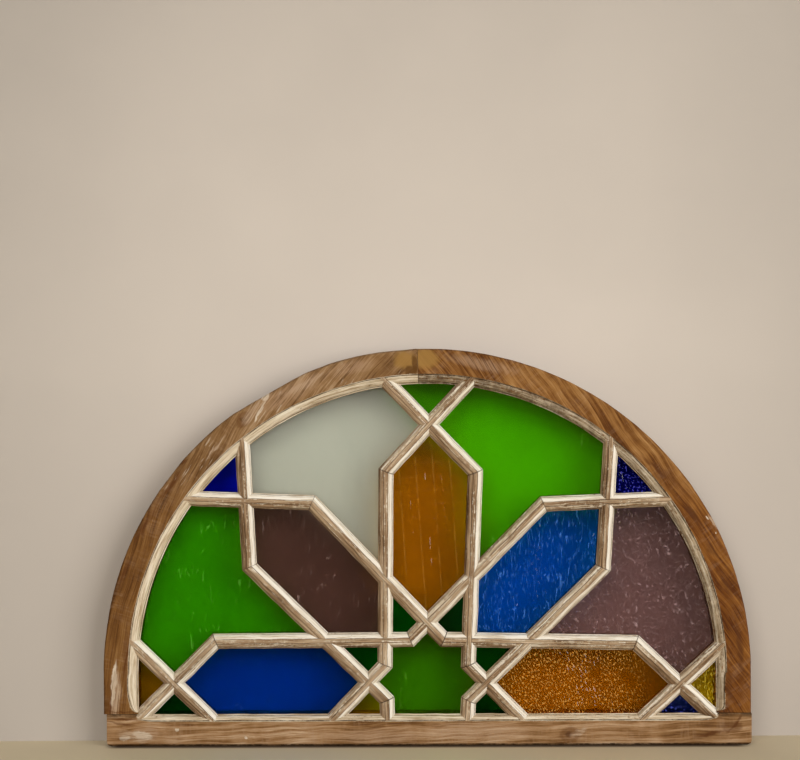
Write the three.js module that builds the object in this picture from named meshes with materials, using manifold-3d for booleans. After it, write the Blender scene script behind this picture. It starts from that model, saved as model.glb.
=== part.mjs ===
// Half-round fanlight: two bent frame halves on a bottom rail, a lattice of moulded
// glazing bars in an eight-fold figure, and one glass pane in each opening.
// Millimetres, X to the right, Y away from the viewer, Z up, origin under the middle of the rail.
import * as THREE from 'three';
import { mergeVertices } from 'three/addons/utils/BufferGeometryUtils.js';
import Module from 'manifold-3d';

const wasm = await Module();
wasm.setup();

// Driving dimensions of the frame
const width = 800; // over the arch
const depth = 44; // front to back
const railHeight = 40;
const springHeight = 90; // the arch's centre above the underside
const faceWidth = 31; // flat front of the arch
const mouldWidth = 12.5; // its moulding, seen from the front
const railFace = 31; // height of the rail's flat front
const archSteps = 40; // straight steps in the whole half circle

// Driving dimensions of the bars and the glass
const barWidth = 18.4;
const barDepth = 30;
const barSetBack = 0.5; // bars' front behind the frame's front
const glass = 3;
const glassDepth = 11.8; // middle of the glass behind the frame's front
const grooveDepth = 4.3;
const gap = 0.3; // clearance between neighbouring pieces

// Driving dimensions of the figure
const petalShare = 0.785; // a petal's tip, as a share of the arch's outer radius
const starShare = 0.1688; // half side of the star's squares, as a share of the petal's tip
const figureDrop = 12.3; // the figure's centre below the arch's
const figureShift = 1; // and to the right of the middle

// Lengths that follow from them
const outer = width / 2;
const petal = outer * petalShare; // centre to a petal's tip
const star = petal * starShare;
const figureHeight = springHeight - figureDrop;
const footDrop = figureHeight - railFace; // from the figure's centre down to the bars' feet
const sight = outer - faceWidth - mouldWidth;
const front = -depth / 2;
const back = depth / 2;
const glassY = front + glassDepth;
const grooveFront = glassY - glass / 2 - gap;
const grooveBack = glassY + glass / 2 + gap;
const half = barWidth / 2;
const tip = star * Math.SQRT2;
const inner = tip - star;
const bend = petal - star;
const diag = petal / Math.SQRT2;
const turn = diag - tip;

// Closed solid through rings of points: each ring is the same profile further along the piece
function skin(rings, profile) {
  const n = profile.length;
  const positions = rings.flat().flatMap((p) => [p.x, p.y, p.z]);
  const index = [];
  for (let k = 0; k + 1 < rings.length; k += 1) {
    for (let i = 0; i < n; i += 1) {
      const j = (i + 1) % n;
      const a = k * n + i;
      const b = k * n + j;
      index.push(a, b, b + n, a, b + n, a + n);
    }
  }
  const last = (rings.length - 1) * n;
  const wound = THREE.ShapeUtils.area(profile) > 0;
  for (const [a, second, third] of THREE.ShapeUtils.triangulateShape(profile, [])) {
    const same = THREE.ShapeUtils.area([profile[a], profile[second], profile[third]]) > 0 === wound;
    const b = same ? second : third;
    const c = same ? third : second;
    index.push(a, c, b, last + a, last + b, last + c);
  }
  const geometry = new THREE.BufferGeometry();
  geometry.setAttribute('position', new THREE.Float32BufferAttribute(positions, 3));
  geometry.setIndex(index);
  return closed(geometry);
}

// Signed volume of an indexed geometry, negative when its faces look inward
function volume(geometry) {
  const p = geometry.attributes.position;
  const index = geometry.index.array;
  const a = new THREE.Vector3();
  const b = new THREE.Vector3();
  const c = new THREE.Vector3();
  let sum = 0;
  for (let i = 0; i < index.length; i += 3) {
    a.fromBufferAttribute(p, index[i]);
    b.fromBufferAttribute(p, index[i + 1]);
    c.fromBufferAttribute(p, index[i + 2]);
    sum += a.dot(b.cross(c)) / 6;
  }
  return sum;
}

// Solid for joining and cutting, made from a closed geometry
function closed(source) {
  const geometry = source.clone();
  geometry.deleteAttribute('normal');
  geometry.deleteAttribute('uv');
  const merged = mergeVertices(geometry, 1e-4);
  const triVerts = new Uint32Array(merged.index.array);
  if (volume(merged) < 0) {
    for (let i = 0; i < triVerts.length; i += 3) {
      [triVerts[i], triVerts[i + 1]] = [triVerts[i + 1], triVerts[i]];
    }
  }
  const vertProperties = new Float32Array(merged.attributes.position.array);
  return new wasm.Manifold(new wasm.Mesh({ numProp: 3, vertProperties, triVerts }));
}

// Upright prism of a polygon seen from the front, between two depths
function prism(points, y0, y1) {
  const profile = points.map(([x, z]) => new THREE.Vector2(x, z));
  const rings = [y0, y1].map((y) => profile.map((p) => new THREE.Vector3(p.x, y, p.y)));
  return skin(rings, profile);
}

// Frame section as [distance in from the sight edge, depth]; grown by g for cutting others
function frameProfile(faceEdge, outerEdge, g, grooved) {
  const m = faceEdge;
  const points = [
    [outerEdge, front - g],
    [m - g, front - g],
    [m - 0.6 - g, front + 1.4 - g],
    [m * 0.66 - g, front + 2.2 - g],
    [m * 0.36 - g, front + 3.9 - g],
    [m * 0.14 - g, front + 6.6 - g],
    [-g, front + 7 - g],
  ];
  if (grooved) {
    points.push([0, grooveFront], [grooveDepth, grooveFront], [grooveDepth, grooveBack], [0, grooveBack]);
  }
  points.push([-g, back - 4 + g], [4 - g, back + g], [outerEdge, back + g]);
  return points.map(([u, y]) => new THREE.Vector2(u, y));
}

// One half of the arch with its leg: side is -1 for the left, from the joint near the top down
const jointAngle = Math.PI / 2 + 0.028;
function archHalf(side, g, grooved) {
  const profile = frameProfile(mouldWidth, mouldWidth + faceWidth + g, g, grooved);
  const start = side < 0 ? jointAngle : Math.PI - jointAngle;
  const steps = Math.round(archSteps / 2);
  const rings = [];
  for (let k = 0; k <= steps; k += 1) {
    const angle = start + (Math.PI - start) * (k / steps);
    const shift = k === 0 && g === 0 ? gap / 2 : 0;
    rings.push(profile.map((p) => {
      const r = sight + p.x;
      const x = -r * Math.cos(angle) + shift * Math.sin(angle);
      return new THREE.Vector3(side * x, p.y, springHeight + r * Math.sin(angle) + shift * Math.cos(angle));
    }));
  }
  const foot = railHeight + (g === 0 ? gap / 2 : -gap);
  rings.push(profile.map((p) => new THREE.Vector3(side * (sight + p.x), p.y, foot)));
  return skin(rings, profile);
}

// Bottom rail: its section runs between the legs' sight edges, plain blocks under the legs
const railShort = 4.5; // how far the rail stops short of the arch on the left
const railLeft = -outer + railShort;
const railRight = outer;
const railCorner = 6;
function rail(g, grooved) {
  const top = railHeight - 1;
  const profile = frameProfile(top - railFace, top, g, false);
  const rings = [-sight - 1, sight + 1].map((x) => profile.map((p) => new THREE.Vector3(x, p.y, top - p.x)));
  const block = [
    [railLeft - g, railHeight - gap / 2 + g],
    [railLeft - g, railCorner],
    [railLeft + railCorner * 0.3, railCorner * 0.3],
    [railLeft + railCorner, -g],
    [-sight + 6, -g],
    [-sight + 6, railFace],
    [-sight - 0.5, railHeight - gap / 2 + g],
  ];
  const blockRight = block.map(([x, z]) => [x < -sight - 20 ? x - railLeft - railRight : x, z]).map(([x, z]) => [-x, z]);
  const left = prism(block, front - g, back + g);
  const right = prism(blockRight, front - g, back + g);
  const solid = skin(rings, profile).add(left).add(right);
  if (!grooved) return solid;
  const r = sight + grooveDepth;
  const groove = [[-r, top - grooveDepth], [r, top - grooveDepth], [r, top + 20], [-r, top + 20]];
  return solid.subtract(prism(groove, grooveFront, grooveBack));
}

// Small errors of the hand-made figure: how far single bends sit from the regular places
const topRightBend = [6, -1.5];
const topLeftBend = [1.6, 0];
const upperLeftBend = [4.3, 0.6];
const upperRightBend = [-4.1, -1.8];
const sideLeftBend = [2, -3.5];
const sideRightBend = [-5.5, -6];
const farLeftBend = [-1.1, -1.5];
const farRightBend = [-4.8, -4.5];
const starTopBend = [-2.4, 0];
const starLeftBend = [2, 0];
const starRightBend = [-3.2, -0.6];
const off = (x, z, [dx, dz] = [0, 0]) => [figureShift + x + dx, figureHeight + z + dz];

// A run's end on the arch, by its angle about the arch's centre, and one on the rail
function onArch(degrees) {
  const angle = degrees * (Math.PI / 180);
  const r = sight + mouldWidth;
  return [r * Math.cos(angle), springHeight + r * Math.sin(angle)];
}
const onRail = (x, shift) => [figureShift + x + shift, figureHeight - footDrop];

// Runs of bars, each a bent line from the frame to the frame; in front first where they cross
const runs = {
  sweep_left: [
    onArch(144.1), off(-turn, diag, upperLeftBend), off(inner, star, starTopBend),
    off(bend, star, farRightBend), onRail(petal + footDrop, -3.7),
  ],
  sweep_right: [
    onArch(35.5), off(turn, diag, upperRightBend), off(-inner, star),
    off(-bend, star, farLeftBend), onRail(-petal - footDrop, 0.5),
  ],
  crown_left: [onArch(81.1), off(-star, bend, topLeftBend), off(-star, inner), onRail(-tip - footDrop, 3)],
  crown_right: [
    onArch(98.5), off(star, bend, topRightBend), off(star, inner, starRightBend), onRail(tip + footDrop, -4.5),
  ],
  shoulder_left: [onArch(128.1), off(-diag, turn, sideLeftBend), off(-star, -inner, starLeftBend), onRail(-star, 3)],
  shoulder_right: [onArch(51.95), off(diag, turn, sideRightBend), off(star, -inner, starRightBend), onRail(star, -4.5)],
  foot_left: [onArch(173.7), onRail(-petal + footDrop, 1)],
  foot_right: [onArch(5.6), onRail(petal - footDrop, -3.3)],
};
const names = Object.keys(runs);

// Crossings the other way about: the first of each pair passes over the second
const swapped = [
  ['crown_right', 'sweep_left'],
  ['crown_right', 'sweep_right'],
  ['shoulder_right', 'crown_right'],
  ['foot_left', 'sweep_right'],
  ['foot_right', 'sweep_left'],
];
function passesOver(name, other) {
  if (swapped.some(([over, under]) => over === name && under === other)) return true;
  if (swapped.some(([over, under]) => over === other && under === name)) return false;
  return names.indexOf(name) < names.indexOf(other);
}
const bury = 12; // how far a run's end is carried into the frame before it is cut to it

const toVector = ([x, z]) => new THREE.Vector2(x, z);
const lines = {};
for (const name of names) {
  const points = runs[name].map(toVector);
  const n = points.length;
  const first = points[0].clone().sub(points[1]).setLength(bury).add(points[0]);
  const last = points[n - 1].clone().sub(points[n - 2]).setLength(bury).add(points[n - 1]);
  lines[name] = [first, ...points.slice(1, n - 1), last];
}

// Where two stretches cross, or null
function meet(a, b, c, d) {
  const r = b.clone().sub(a);
  const s = d.clone().sub(c);
  const cross = r.cross(s);
  if (Math.abs(cross) < 1e-9) return null;
  const ac = c.clone().sub(a);
  const t = ac.cross(s) / cross;
  const u = ac.cross(r) / cross;
  if (t <= 0 || t >= 1 || u <= 0 || u >= 1) return null;
  return a.clone().add(r.multiplyScalar(t));
}

// Where two runs cross
function cross(nameA, nameB) {
  const a = lines[nameA];
  const b = lines[nameB];
  for (let i = 0; i + 1 < a.length; i += 1) {
    for (let j = 0; j + 1 < b.length; j += 1) {
      const point = meet(a[i], a[i + 1], b[j], b[j + 1]);
      if (point) return point;
    }
  }
  throw new Error(`${nameA} and ${nameB} don't cross`);
}

// Bar section as [half width, depth from its front], right half from the front to the back
const barFront = front + barSetBack;
const barBack = barFront + barDepth;
const moulding = [
  [3.1, 0],
  [3.9, 0.9],
  [6.2, 2.0],
  [7.8, 4.6],
  [8.2, 6.4],
  [half, 6.6],
];
function barProfile() {
  const groove = half - grooveDepth;
  const right = moulding.map(([u, d]) => [u, barFront + d]);
  right.push([half, grooveFront], [groove, grooveFront], [groove, grooveBack], [half, grooveBack]);
  right.push([half, barBack - 6], [half - 4.5, barBack]);
  const left = right.map(([u, y]) => [-u, y]).reverse();
  return [...right, ...left].map(toVector);
}
function frontCutter() {
  const right = moulding.map(([u, d]) => [u + gap, barFront + d - gap]);
  right.unshift([3.1 + gap, barFront - 2]);
  right.push([half + gap, glassY + gap / 2]);
  const left = right.map(([u, y]) => [-u, y]).reverse();
  return [...right, ...left].map(toVector);
}
function rearCutter() {
  const right = [
    [half + gap, glassY - gap / 2],
    [half + gap, barBack - 6 + gap],
    [half - 4.5 + gap, barBack + gap],
    [half - 4.5 + gap, barBack + 2],
  ];
  const left = right.map(([u, y]) => [-u, y]).reverse();
  return [...right, ...left].map(toVector);
}

// Straight stretch of a section from a to b; before and after give the neighbours for the mitres
function stretch(profile, a, b, before, after, clear) {
  const along = b.clone().sub(a).normalize();
  const side = new THREE.Vector2(along.y, -along.x);
  const end = (point, neighbour, sign) => {
    let slope = 0;
    let hold = 0;
    if (neighbour) {
      const other = neighbour.clone().sub(point).normalize();
      const bisector = along.clone().multiplyScalar(-sign).add(other).normalize();
      slope = bisector.dot(along) / bisector.dot(side);
      hold = clear / 2 / Math.abs(bisector.dot(side));
    }
    return profile.map((p) => {
      const at = point.clone().addScaledVector(side, p.x).addScaledVector(along, p.x * slope - sign * hold);
      return new THREE.Vector3(at.x, p.y, at.y);
    });
  };
  return skin([end(a, before, -1), end(b, after, 1)], profile);
}

// The frame as a cutter for the bars' ends
const frameCutter = archHalf(-1, gap, false).add(archHalf(1, gap, false)).add(rail(gap, false));

// Every straight bar, notched where others cross it and cut to the frame's moulding
const bars = [];
for (const name of names) {
  const line = lines[name];
  const single = line.length === 2;
  for (let i = 0; i + 1 < line.length; i += 1) {
    let solid = stretch(barProfile(), line[i], line[i + 1], line[i - 1], line[i + 2], gap);
    for (const otherName of names) {
      if (otherName === name) continue;
      const other = lines[otherName];
      for (let j = 0; j + 1 < other.length; j += 1) {
        if (!meet(line[i], line[i + 1], other[j], other[j + 1])) continue;
        const cutter = passesOver(otherName, name) ? frontCutter() : rearCutter();
        solid = solid.subtract(stretch(cutter, other[j], other[j + 1], other[j - 1], other[j + 2], 0));
      }
    }
    solid = solid.subtract(frameCutter);
    bars.push({ name: single ? name : `${name}_${i + 1}`, solid });
  }
}

// A polygon with each side moved inward by d; the polygon runs anticlockwise
function inset(points, d) {
  const n = points.length;
  return points.map((p, i) => {
    const before = points[(i + n - 1) % n];
    const after = points[(i + 1) % n];
    const e = p.clone().sub(before).normalize();
    const f = after.clone().sub(p).normalize();
    const ne = new THREE.Vector2(-e.y, e.x);
    const nf = new THREE.Vector2(-f.y, f.x);
    const middle = ne.clone().add(nf).normalize();
    return p.clone().addScaledVector(middle, d / middle.dot(ne));
  });
}

// Whole sheet of glass that the openings are cut from: the sight shape and the frame's grooves
function sheet() {
  const r = sight + grooveDepth - gap;
  const points = [];
  for (let k = 0; k <= archSteps; k += 1) {
    const angle = Math.PI * (k / archSteps);
    points.push([r * Math.cos(angle), springHeight + r * Math.sin(angle)]);
  }
  const low = railHeight - 1 - grooveDepth + gap;
  points.push([-r, low], [r, low]);
  return prism(points, glassY - glass / 2, glassY + glass / 2);
}

// Openings, each by the crossings and bends round it; far gives a run's end carried outside
const beyondRail = railHeight * 0.75;
const beyondArch = outer / 3;
const far = (name, atEnd) => {
  const points = runs[name].map(toVector);
  const [p, q] = atEnd ? points.slice(-2) : [points[1], points[0]];
  return q.clone().sub(p).setLength(atEnd ? beyondRail : beyondArch).add(q);
};
const at = (name, i) => lines[name][i];
const sides = { left: 'right', right: 'left' };
const cells = {
  pane_star: [
    cross('sweep_left', 'sweep_right'), at('sweep_right', 2), cross('sweep_right', 'crown_left'),
    at('crown_left', 2), cross('crown_left', 'shoulder_left'), at('shoulder_left', 2), far('shoulder_left', true),
    far('shoulder_right', true), at('shoulder_right', 2), cross('crown_right', 'shoulder_right'),
    at('crown_right', 2), cross('sweep_left', 'crown_right'), at('sweep_left', 2),
  ],
  pane_petal_top: [
    cross('crown_left', 'crown_right'), at('crown_left', 1), cross('sweep_left', 'crown_left'),
    cross('sweep_left', 'sweep_right'), cross('sweep_right', 'crown_right'), at('crown_right', 1),
  ],
  pane_crown: [far('crown_right', false), cross('crown_left', 'crown_right'), far('crown_left', false)],
};
for (const [s, o] of Object.entries(sides)) {
  const sweep = `sweep_${s}`;
  const opposite = `sweep_${o}`;
  const crown = `crown_${s}`;
  const crownOther = `crown_${o}`;
  const shoulder = `shoulder_${s}`;
  const foot = `foot_${s}`;
  const shoulderTip = cross(sweep, shoulder);
  const upperRing = cross(sweep, crown);
  const sideRing = cross(opposite, shoulder);
  const starCorner = cross(opposite, crown);
  const starSide = cross(crown, shoulder);
  const footTip = cross(opposite, foot);
  cells[`pane_petal_upper_${s}`] = [
    shoulderTip, at(sweep, 1), upperRing, starCorner, sideRing, at(shoulder, 1),
  ];
  cells[`pane_petal_${s}`] = [
    sideRing, at(opposite, 3), footTip, far(foot, true), far(crown, true), starSide,
  ];
  cells[`pane_field_upper_${s}`] = [
    far(crownOther, false), cross('crown_left', 'crown_right'), at(crown, 1), upperRing, at(sweep, 1),
    shoulderTip, far(shoulder, false),
  ];
  cells[`pane_field_${s}`] = [
    shoulderTip, at(shoulder, 1), sideRing, at(opposite, 3), footTip, far(foot, false), far(sweep, false),
  ];
  cells[`pane_shoulder_${s}`] = [shoulderTip, far(sweep, false), far(shoulder, false)];
  cells[`pane_leg_${s}`] = [footTip, far(foot, false), far(opposite, true)];
  cells[`pane_rail_${s}`] = [footTip, far(opposite, true), far(foot, true)];
  cells[`pane_kite_${s}`] = [upperRing, starCorner, at(opposite, 2), cross('sweep_left', 'sweep_right')];
  cells[`pane_quad_${s}`] = [starCorner, sideRing, starSide, at(crown, 2)];
  cells[`pane_under_${s}`] = [starSide, far(crown, true), far(shoulder, true), at(shoulder, 2)];
}

// Colour of each pane
const paneColours = {
  pane_star: '#3f7d12',
  pane_petal_top: '#9c5a08',
  pane_petal_upper_left: '#4b2c28',
  pane_petal_upper_right: '#0b3f92',
  pane_petal_left: '#06287c',
  pane_petal_right: '#9a5a06',
  pane_field_upper_left: '#b4b3a0',
  pane_field_upper_right: '#3f9410',
  pane_field_left: '#2a7408',
  pane_field_right: '#5d4144',
  pane_crown: '#2f700c',
  pane_shoulder_left: '#04046c',
  pane_shoulder_right: '#060a70',
  pane_leg_left: '#5a3b06',
  pane_leg_right: '#8f6c0a',
  pane_rail_left: '#06240a',
  pane_rail_right: '#03063c',
  pane_kite_left: '#0a2a10',
  pane_kite_right: '#0a2a10',
  pane_quad_left: '#08220c',
  pane_quad_right: '#08220c',
  pane_under_left: '#4f430a',
  pane_under_right: '#062410',
};

// Finished parts
const group = new THREE.Group();
group.name = 'fanlight';
function addPart(name, solid, material) {
  const mesh = solid.getMesh();
  const geometry = new THREE.BufferGeometry();
  geometry.setAttribute('position', new THREE.BufferAttribute(new Float32Array(mesh.vertProperties), 3));
  geometry.setIndex(new THREE.BufferAttribute(new Uint32Array(mesh.triVerts), 1));
  const part = new THREE.Mesh(geometry, material);
  part.name = name;
  group.add(part);
}

const frameWood = new THREE.MeshStandardMaterial({ color: '#8d643f', roughness: 0.7, metalness: 0 });
const barWood = new THREE.MeshStandardMaterial({ color: '#cdbfa4', roughness: 0.75, metalness: 0 });

// The left half's rim has a flat sawn across it
const flatAngle = 119.5 * (Math.PI / 180);
const flatReach = outer * 0.991;
const flatCentre = new THREE.Vector2(Math.cos(flatAngle), Math.sin(flatAngle));
const flatAlong = new THREE.Vector2(-flatCentre.y, flatCentre.x);
const flatCorners = [[flatReach, -90], [flatReach + 30, -90], [flatReach + 30, 90], [flatReach, 90]];
const flatPoints = flatCorners.map(([u, v]) => {
  const p = flatCentre.clone().multiplyScalar(u).addScaledVector(flatAlong, v);
  return [p.x, p.y + springHeight];
});
const flatCutter = prism(flatPoints, front - 5, back + 5);

addPart('bottom_rail', rail(0, true), frameWood);
addPart('arch_left', archHalf(-1, 0, true).subtract(flatCutter), frameWood);
addPart('arch_right', archHalf(1, 0, true), frameWood);
for (const { name, solid } of bars) addPart(name, solid, barWood);

const plate = sheet();
const paneInset = half - grooveDepth + gap;
for (const [name, cell] of Object.entries(cells)) {
  const ordered = THREE.ShapeUtils.area(cell) < 0 ? [...cell].reverse() : cell;
  const outline = inset(ordered, paneInset).map((p) => [p.x, p.y]);
  const solid = plate.intersect(prism(outline, glassY - glass, glassY + glass));
  const material = new THREE.MeshStandardMaterial({ color: paneColours[name], roughness: 0.2, metalness: 0 });
  addPart(name, solid, material);
}

export default group;
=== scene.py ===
# Half-round fanlight: coloured glass in a star lattice, in a stripped pine frame
from math import cos, pi, radians, sin, sqrt

import bmesh
import bpy
import numpy as np
from mathutils import Matrix


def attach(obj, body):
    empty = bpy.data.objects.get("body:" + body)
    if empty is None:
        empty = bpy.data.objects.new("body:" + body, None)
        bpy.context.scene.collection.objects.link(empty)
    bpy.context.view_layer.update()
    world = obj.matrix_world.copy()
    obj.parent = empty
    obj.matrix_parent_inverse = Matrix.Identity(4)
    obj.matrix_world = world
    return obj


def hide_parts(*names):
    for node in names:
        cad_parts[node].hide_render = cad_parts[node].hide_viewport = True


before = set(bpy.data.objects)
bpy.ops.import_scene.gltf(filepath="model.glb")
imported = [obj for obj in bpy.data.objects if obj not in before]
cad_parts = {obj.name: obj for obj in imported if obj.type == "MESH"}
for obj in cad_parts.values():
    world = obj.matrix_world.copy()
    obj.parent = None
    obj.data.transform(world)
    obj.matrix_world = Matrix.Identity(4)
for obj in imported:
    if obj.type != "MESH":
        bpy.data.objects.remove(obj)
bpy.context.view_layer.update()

# Camera: three metres in front of the window, a little above and left of its middle,
# held level but for a slight turn of the camera about its own axis.
camera_data = bpy.data.cameras.new("camera")
camera_data.sensor_width = 36
camera_data.lens = 109.9
camera_data.clip_end = 50
camera = bpy.data.objects.new("camera", camera_data)
camera_pitch = radians(90 - 1.5)
camera_roll = radians(-0.155)
camera_turn = Matrix.Rotation(camera_pitch, 4, "X") @ Matrix.Rotation(camera_roll, 4, "Z")
camera.matrix_world = Matrix.Translation((-0.0327, -3.022, 0.5302)) @ camera_turn
bpy.context.scene.collection.objects.link(camera)
bpy.context.scene.camera = camera

# Bottom rail: one straight board of stripped pine, its upper inner edge run with an ovolo
# moulding that stops in a curve under each leg, its lower corners rounded by wear.
# Sizes are in mm, x to the right, y away from the viewer and z up.
mm = 0.001
outer = 400.0
depth = 44.0
front = -depth / 2
rail_height = 40.0
spring_height = 90.0
face_width = 31.0
mould_width = 12.5
sight = outer - face_width - mould_width
rail_top = rail_height - 1
rail_face = 31.0
glass_y = front + 11.8
glass_half = 1.35
groove_half = 1.8
groove_front = glass_y - groove_half
groove_back = glass_y + groove_half
groove_depth = 4.3
groove_play = 0.3


def ripple(seed, scale, *where):
    """Smooth irregular value from about -1 to 1: the mean of sine waves that run in random
    directions through the given coordinates, with wavelengths from scale down to a third of it."""
    rng = np.random.default_rng(seed)
    total = 0.0
    waves = 9
    for wavelength in np.linspace(scale, scale / 3, waves):
        turn = rng.normal(size=len(where))
        turn *= 2 * pi / wavelength / np.linalg.norm(turn)
        phase = rng.uniform(0, 2 * pi)
        total = total + np.sin(sum(t * w for t, w in zip(turn, where)) + phase)
    return total / sqrt(waves)


def clean(points):
    """Section points that hold neither dirt nor painted shade: a third column of zeros is added."""
    points = np.array(points, dtype=float)
    return np.column_stack([points, np.zeros(len(points))])


def moulded_edge(width):
    """Moulding section from the flat face to the sight edge, as [distance from the sight edge, depth,
    dirt and painted shade]: a quirk beside the face, a quarter of an ellipse, a second quirk and a fillet."""
    swell = np.linspace(0, pi / 2, 12)
    ovolo = np.stack([1.9 + (width - 3.3) * (1 - np.sin(swell)), 1.1 + 4.7 * (1 - np.cos(swell))], 1)
    # The quirks are darkened, partly for dirt in them and partly as painted shade.
    quirk = np.array([[width, 0, 0.3], [width - 0.3, 0.2, 0.7], [width - 0.5, 1.5, 1], [width - 1.2, 1.7, 1]])
    fillet = np.array([[1.85, 6.6, 1], [1.45, 6.7, 1], [1.25, 6.2, 0.4], [0.3, 6.4, 0], [0, 6.9, 0]])
    return np.concatenate([quirk, clean(ovolo), fillet])


def frame_section(reach, width):
    """Closed section of a frame member as [distance out from the sight edge, depth, dirt and painted
    shade], from the outer front corner over the face, moulding, groove and plain back to the outer side."""
    corner = clean([[reach, 3.6], [reach - 0.45, 1.9], [reach - 1.5, 0.5]])
    face = np.concatenate([[reach - 2.6, reach - 3.3], np.linspace(reach - 4.5, width + 1.2, 10)])
    groove_top = groove_front - front
    groove_low = groove_back - front
    inside = [[0, groove_top], [groove_depth, groove_top], [groove_depth, groove_low], [0, groove_low]]
    inside += [[0, 28], [0, 38], [0.6, 40.0], [3.4, 43.4], [4.6, depth]]
    rear = np.stack([np.linspace(8, reach - 4, 9), np.full(9, depth)], 1)
    rim = [[reach - 1.2, depth - 0.3], [reach - 0.3, depth - 1.2], [reach, depth - 3]]
    side = np.stack([np.full(7, reach), np.linspace(depth - 8, 6, 7)], 1)
    flat = clean(np.stack([face, np.zeros(12)], 1))
    parts = [corner, flat, moulded_edge(width), clean(inside), clean(rear), clean(rim), clean(side)]
    return np.concatenate(parts)


def mesh_of(name, points, corners, sizes):
    """Mesh from points in mm, the points at the corners of all its faces in one row, and how many
    of them each face takes."""
    mesh = bpy.data.meshes.new(name)
    mesh.vertices.add(len(points))
    mesh.vertices.foreach_set("co", (points * mm).reshape(-1))
    mesh.loops.add(len(corners))
    mesh.loops.foreach_set("vertex_index", corners.astype(np.int32))
    mesh.polygons.add(len(sizes))
    starts = np.concatenate([[0], np.cumsum(sizes)[:-1]])
    mesh.polygons.foreach_set("loop_start", starts.astype(np.int32))
    return mesh


def carry(name, rings, across, along, paint, grime_and_shade):
    """Mesh from a closed section carried along a path: rings[k, i] is point i of the section
    at station k. The UV map holds the way along the path and the way round the section."""
    stations, n = rings.shape[:2]
    k, i = np.meshgrid(np.arange(stations - 1), np.arange(n), indexing="ij")
    j = (i + 1) % n
    quads = np.stack([k * n + i, k * n + j, (k + 1) * n + j, (k + 1) * n + i], -1).reshape(-1)
    first = np.arange(n)[::-1]
    last = np.arange(n)
    u = np.stack([along[k], along[k], along[k + 1], along[k + 1]], -1).reshape(-1)
    v = np.stack([across[i], across[i + 1], across[i + 1], across[i]], -1).reshape(-1)
    u = np.concatenate([u, np.full(n, along[0]), np.full(n, along[-1])])
    v = np.concatenate([v, across[first], across[last]])
    corners = np.concatenate([quads, first, (stations - 1) * n + last])
    sizes = np.concatenate([np.full(len(quads) // 4, 4), [n, n]])
    mesh = mesh_of(name, rings.reshape(-1, 3), corners, sizes)
    uv = mesh.uv_layers.new(name="run")
    uv.data.foreach_set("uv", np.stack([u, v], -1).reshape(-1) * mm)
    for label, value in (("paint", paint), ("grime_and_shade", grime_and_shade)):
        layer = mesh.attributes.new(label, "FLOAT", "POINT")
        spread = np.broadcast_to(value, (stations, n)).reshape(-1)
        layer.data.foreach_set("value", spread.astype(np.float32))
    mesh.update(calc_edges=True)
    mesh.validate()
    return mesh


def way_round(section):
    """Distances along a closed section, from its first point right round to it again."""
    steps = np.linalg.norm((np.roll(section, -1, axis=0) - section)[:, :2], axis=1)
    return np.concatenate([[0], np.cumsum(steps)])


def face_outwards(mesh):
    """Turns every face outwards when the closed mesh was made inside out."""
    mesh.calc_loop_triangles()
    count = len(mesh.vertices)
    co = np.empty(count * 3)
    mesh.vertices.foreach_get("co", co)
    co = co.reshape(-1, 3)
    tri = np.empty(len(mesh.loop_triangles) * 3, dtype=np.int32)
    mesh.loop_triangles.foreach_get("vertices", tri)
    a, b, c = (co[tri.reshape(-1, 3)[:, n]] for n in range(3))
    if np.einsum("ij,ij->i", a, np.cross(b, c)).sum() < 0:
        mesh.flip_normals()


def place(name, mesh, material, node, crease=38):
    """Object at the origin with soft shading up to the crease angle, in place of one CAD node."""
    face_outwards(mesh)
    mesh.polygons.foreach_set("use_smooth", np.ones(len(mesh.polygons), dtype=bool))
    mesh.set_sharp_from_angle(angle=radians(crease))
    mesh.materials.append(material)
    piece = bpy.data.objects.new(name, mesh)
    bpy.context.scene.collection.objects.link(piece)
    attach(piece, "root")
    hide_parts(node)
    return piece


def add(tree, kind, settings=(), sockets=(), **named):
    """Adds one shader node. Its sockets are given in order, or by name with _ for a space, and
    each gets a plain value or a link."""
    node = tree.nodes.new(kind)
    for key, value in dict(settings).items():
        setattr(node, key, value)
    pairs = [(node.inputs[index], value) for index, value in enumerate(sockets)]
    pairs += [(node.inputs[key.replace("_", " ")], value) for key, value in named.items()]
    for socket, value in pairs:
        if isinstance(value, bpy.types.NodeSocket):
            tree.links.new(value, socket)
        else:
            socket.default_value = value
    return node


def stretched(tree, source, scale, turn=0.0):
    """Coordinates turned in the window's plane, then scaled by a different amount each way."""
    if turn:
        source = add(tree, "ShaderNodeMapping", Vector=source, Rotation=(0, turn, 0)).outputs[0]
    return add(tree, "ShaderNodeMapping", Vector=source, Scale=scale).outputs[0]


def cloud(tree, vector, scale=1.0, detail=3.0, rough=0.55):
    """Noise from 0 to 1."""
    node = add(tree, "ShaderNodeTexNoise", Vector=vector, Scale=scale, Detail=detail, Roughness=rough)
    return node.outputs["Fac"]


def colour_cloud(tree, vector, scale, detail):
    """Noise in three colours, to shake coordinates with."""
    return add(tree, "ShaderNodeTexNoise", Vector=vector, Scale=scale, Detail=detail).outputs["Color"]


def ramp(tree, value, low, high, to_low=0.0, to_high=1.0):
    """The value carried from one range to another, smoothly and held at both ends."""
    settings = {"interpolation_type": "SMOOTHSTEP"}
    return add(tree, "ShaderNodeMapRange", settings, (value, low, high, to_low, to_high)).outputs[0]


def maths(tree, operation, a, b):
    """One sum on two values."""
    return add(tree, "ShaderNodeMath", {"operation": operation}, (a, b)).outputs[0]


def times(tree, value, *others):
    """Product of values."""
    for other in others:
        value = maths(tree, "MULTIPLY", value, other)
    return value


def plus(tree, value, *others):
    """Sum of values."""
    for other in others:
        value = maths(tree, "ADD", value, other)
    return value


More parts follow.
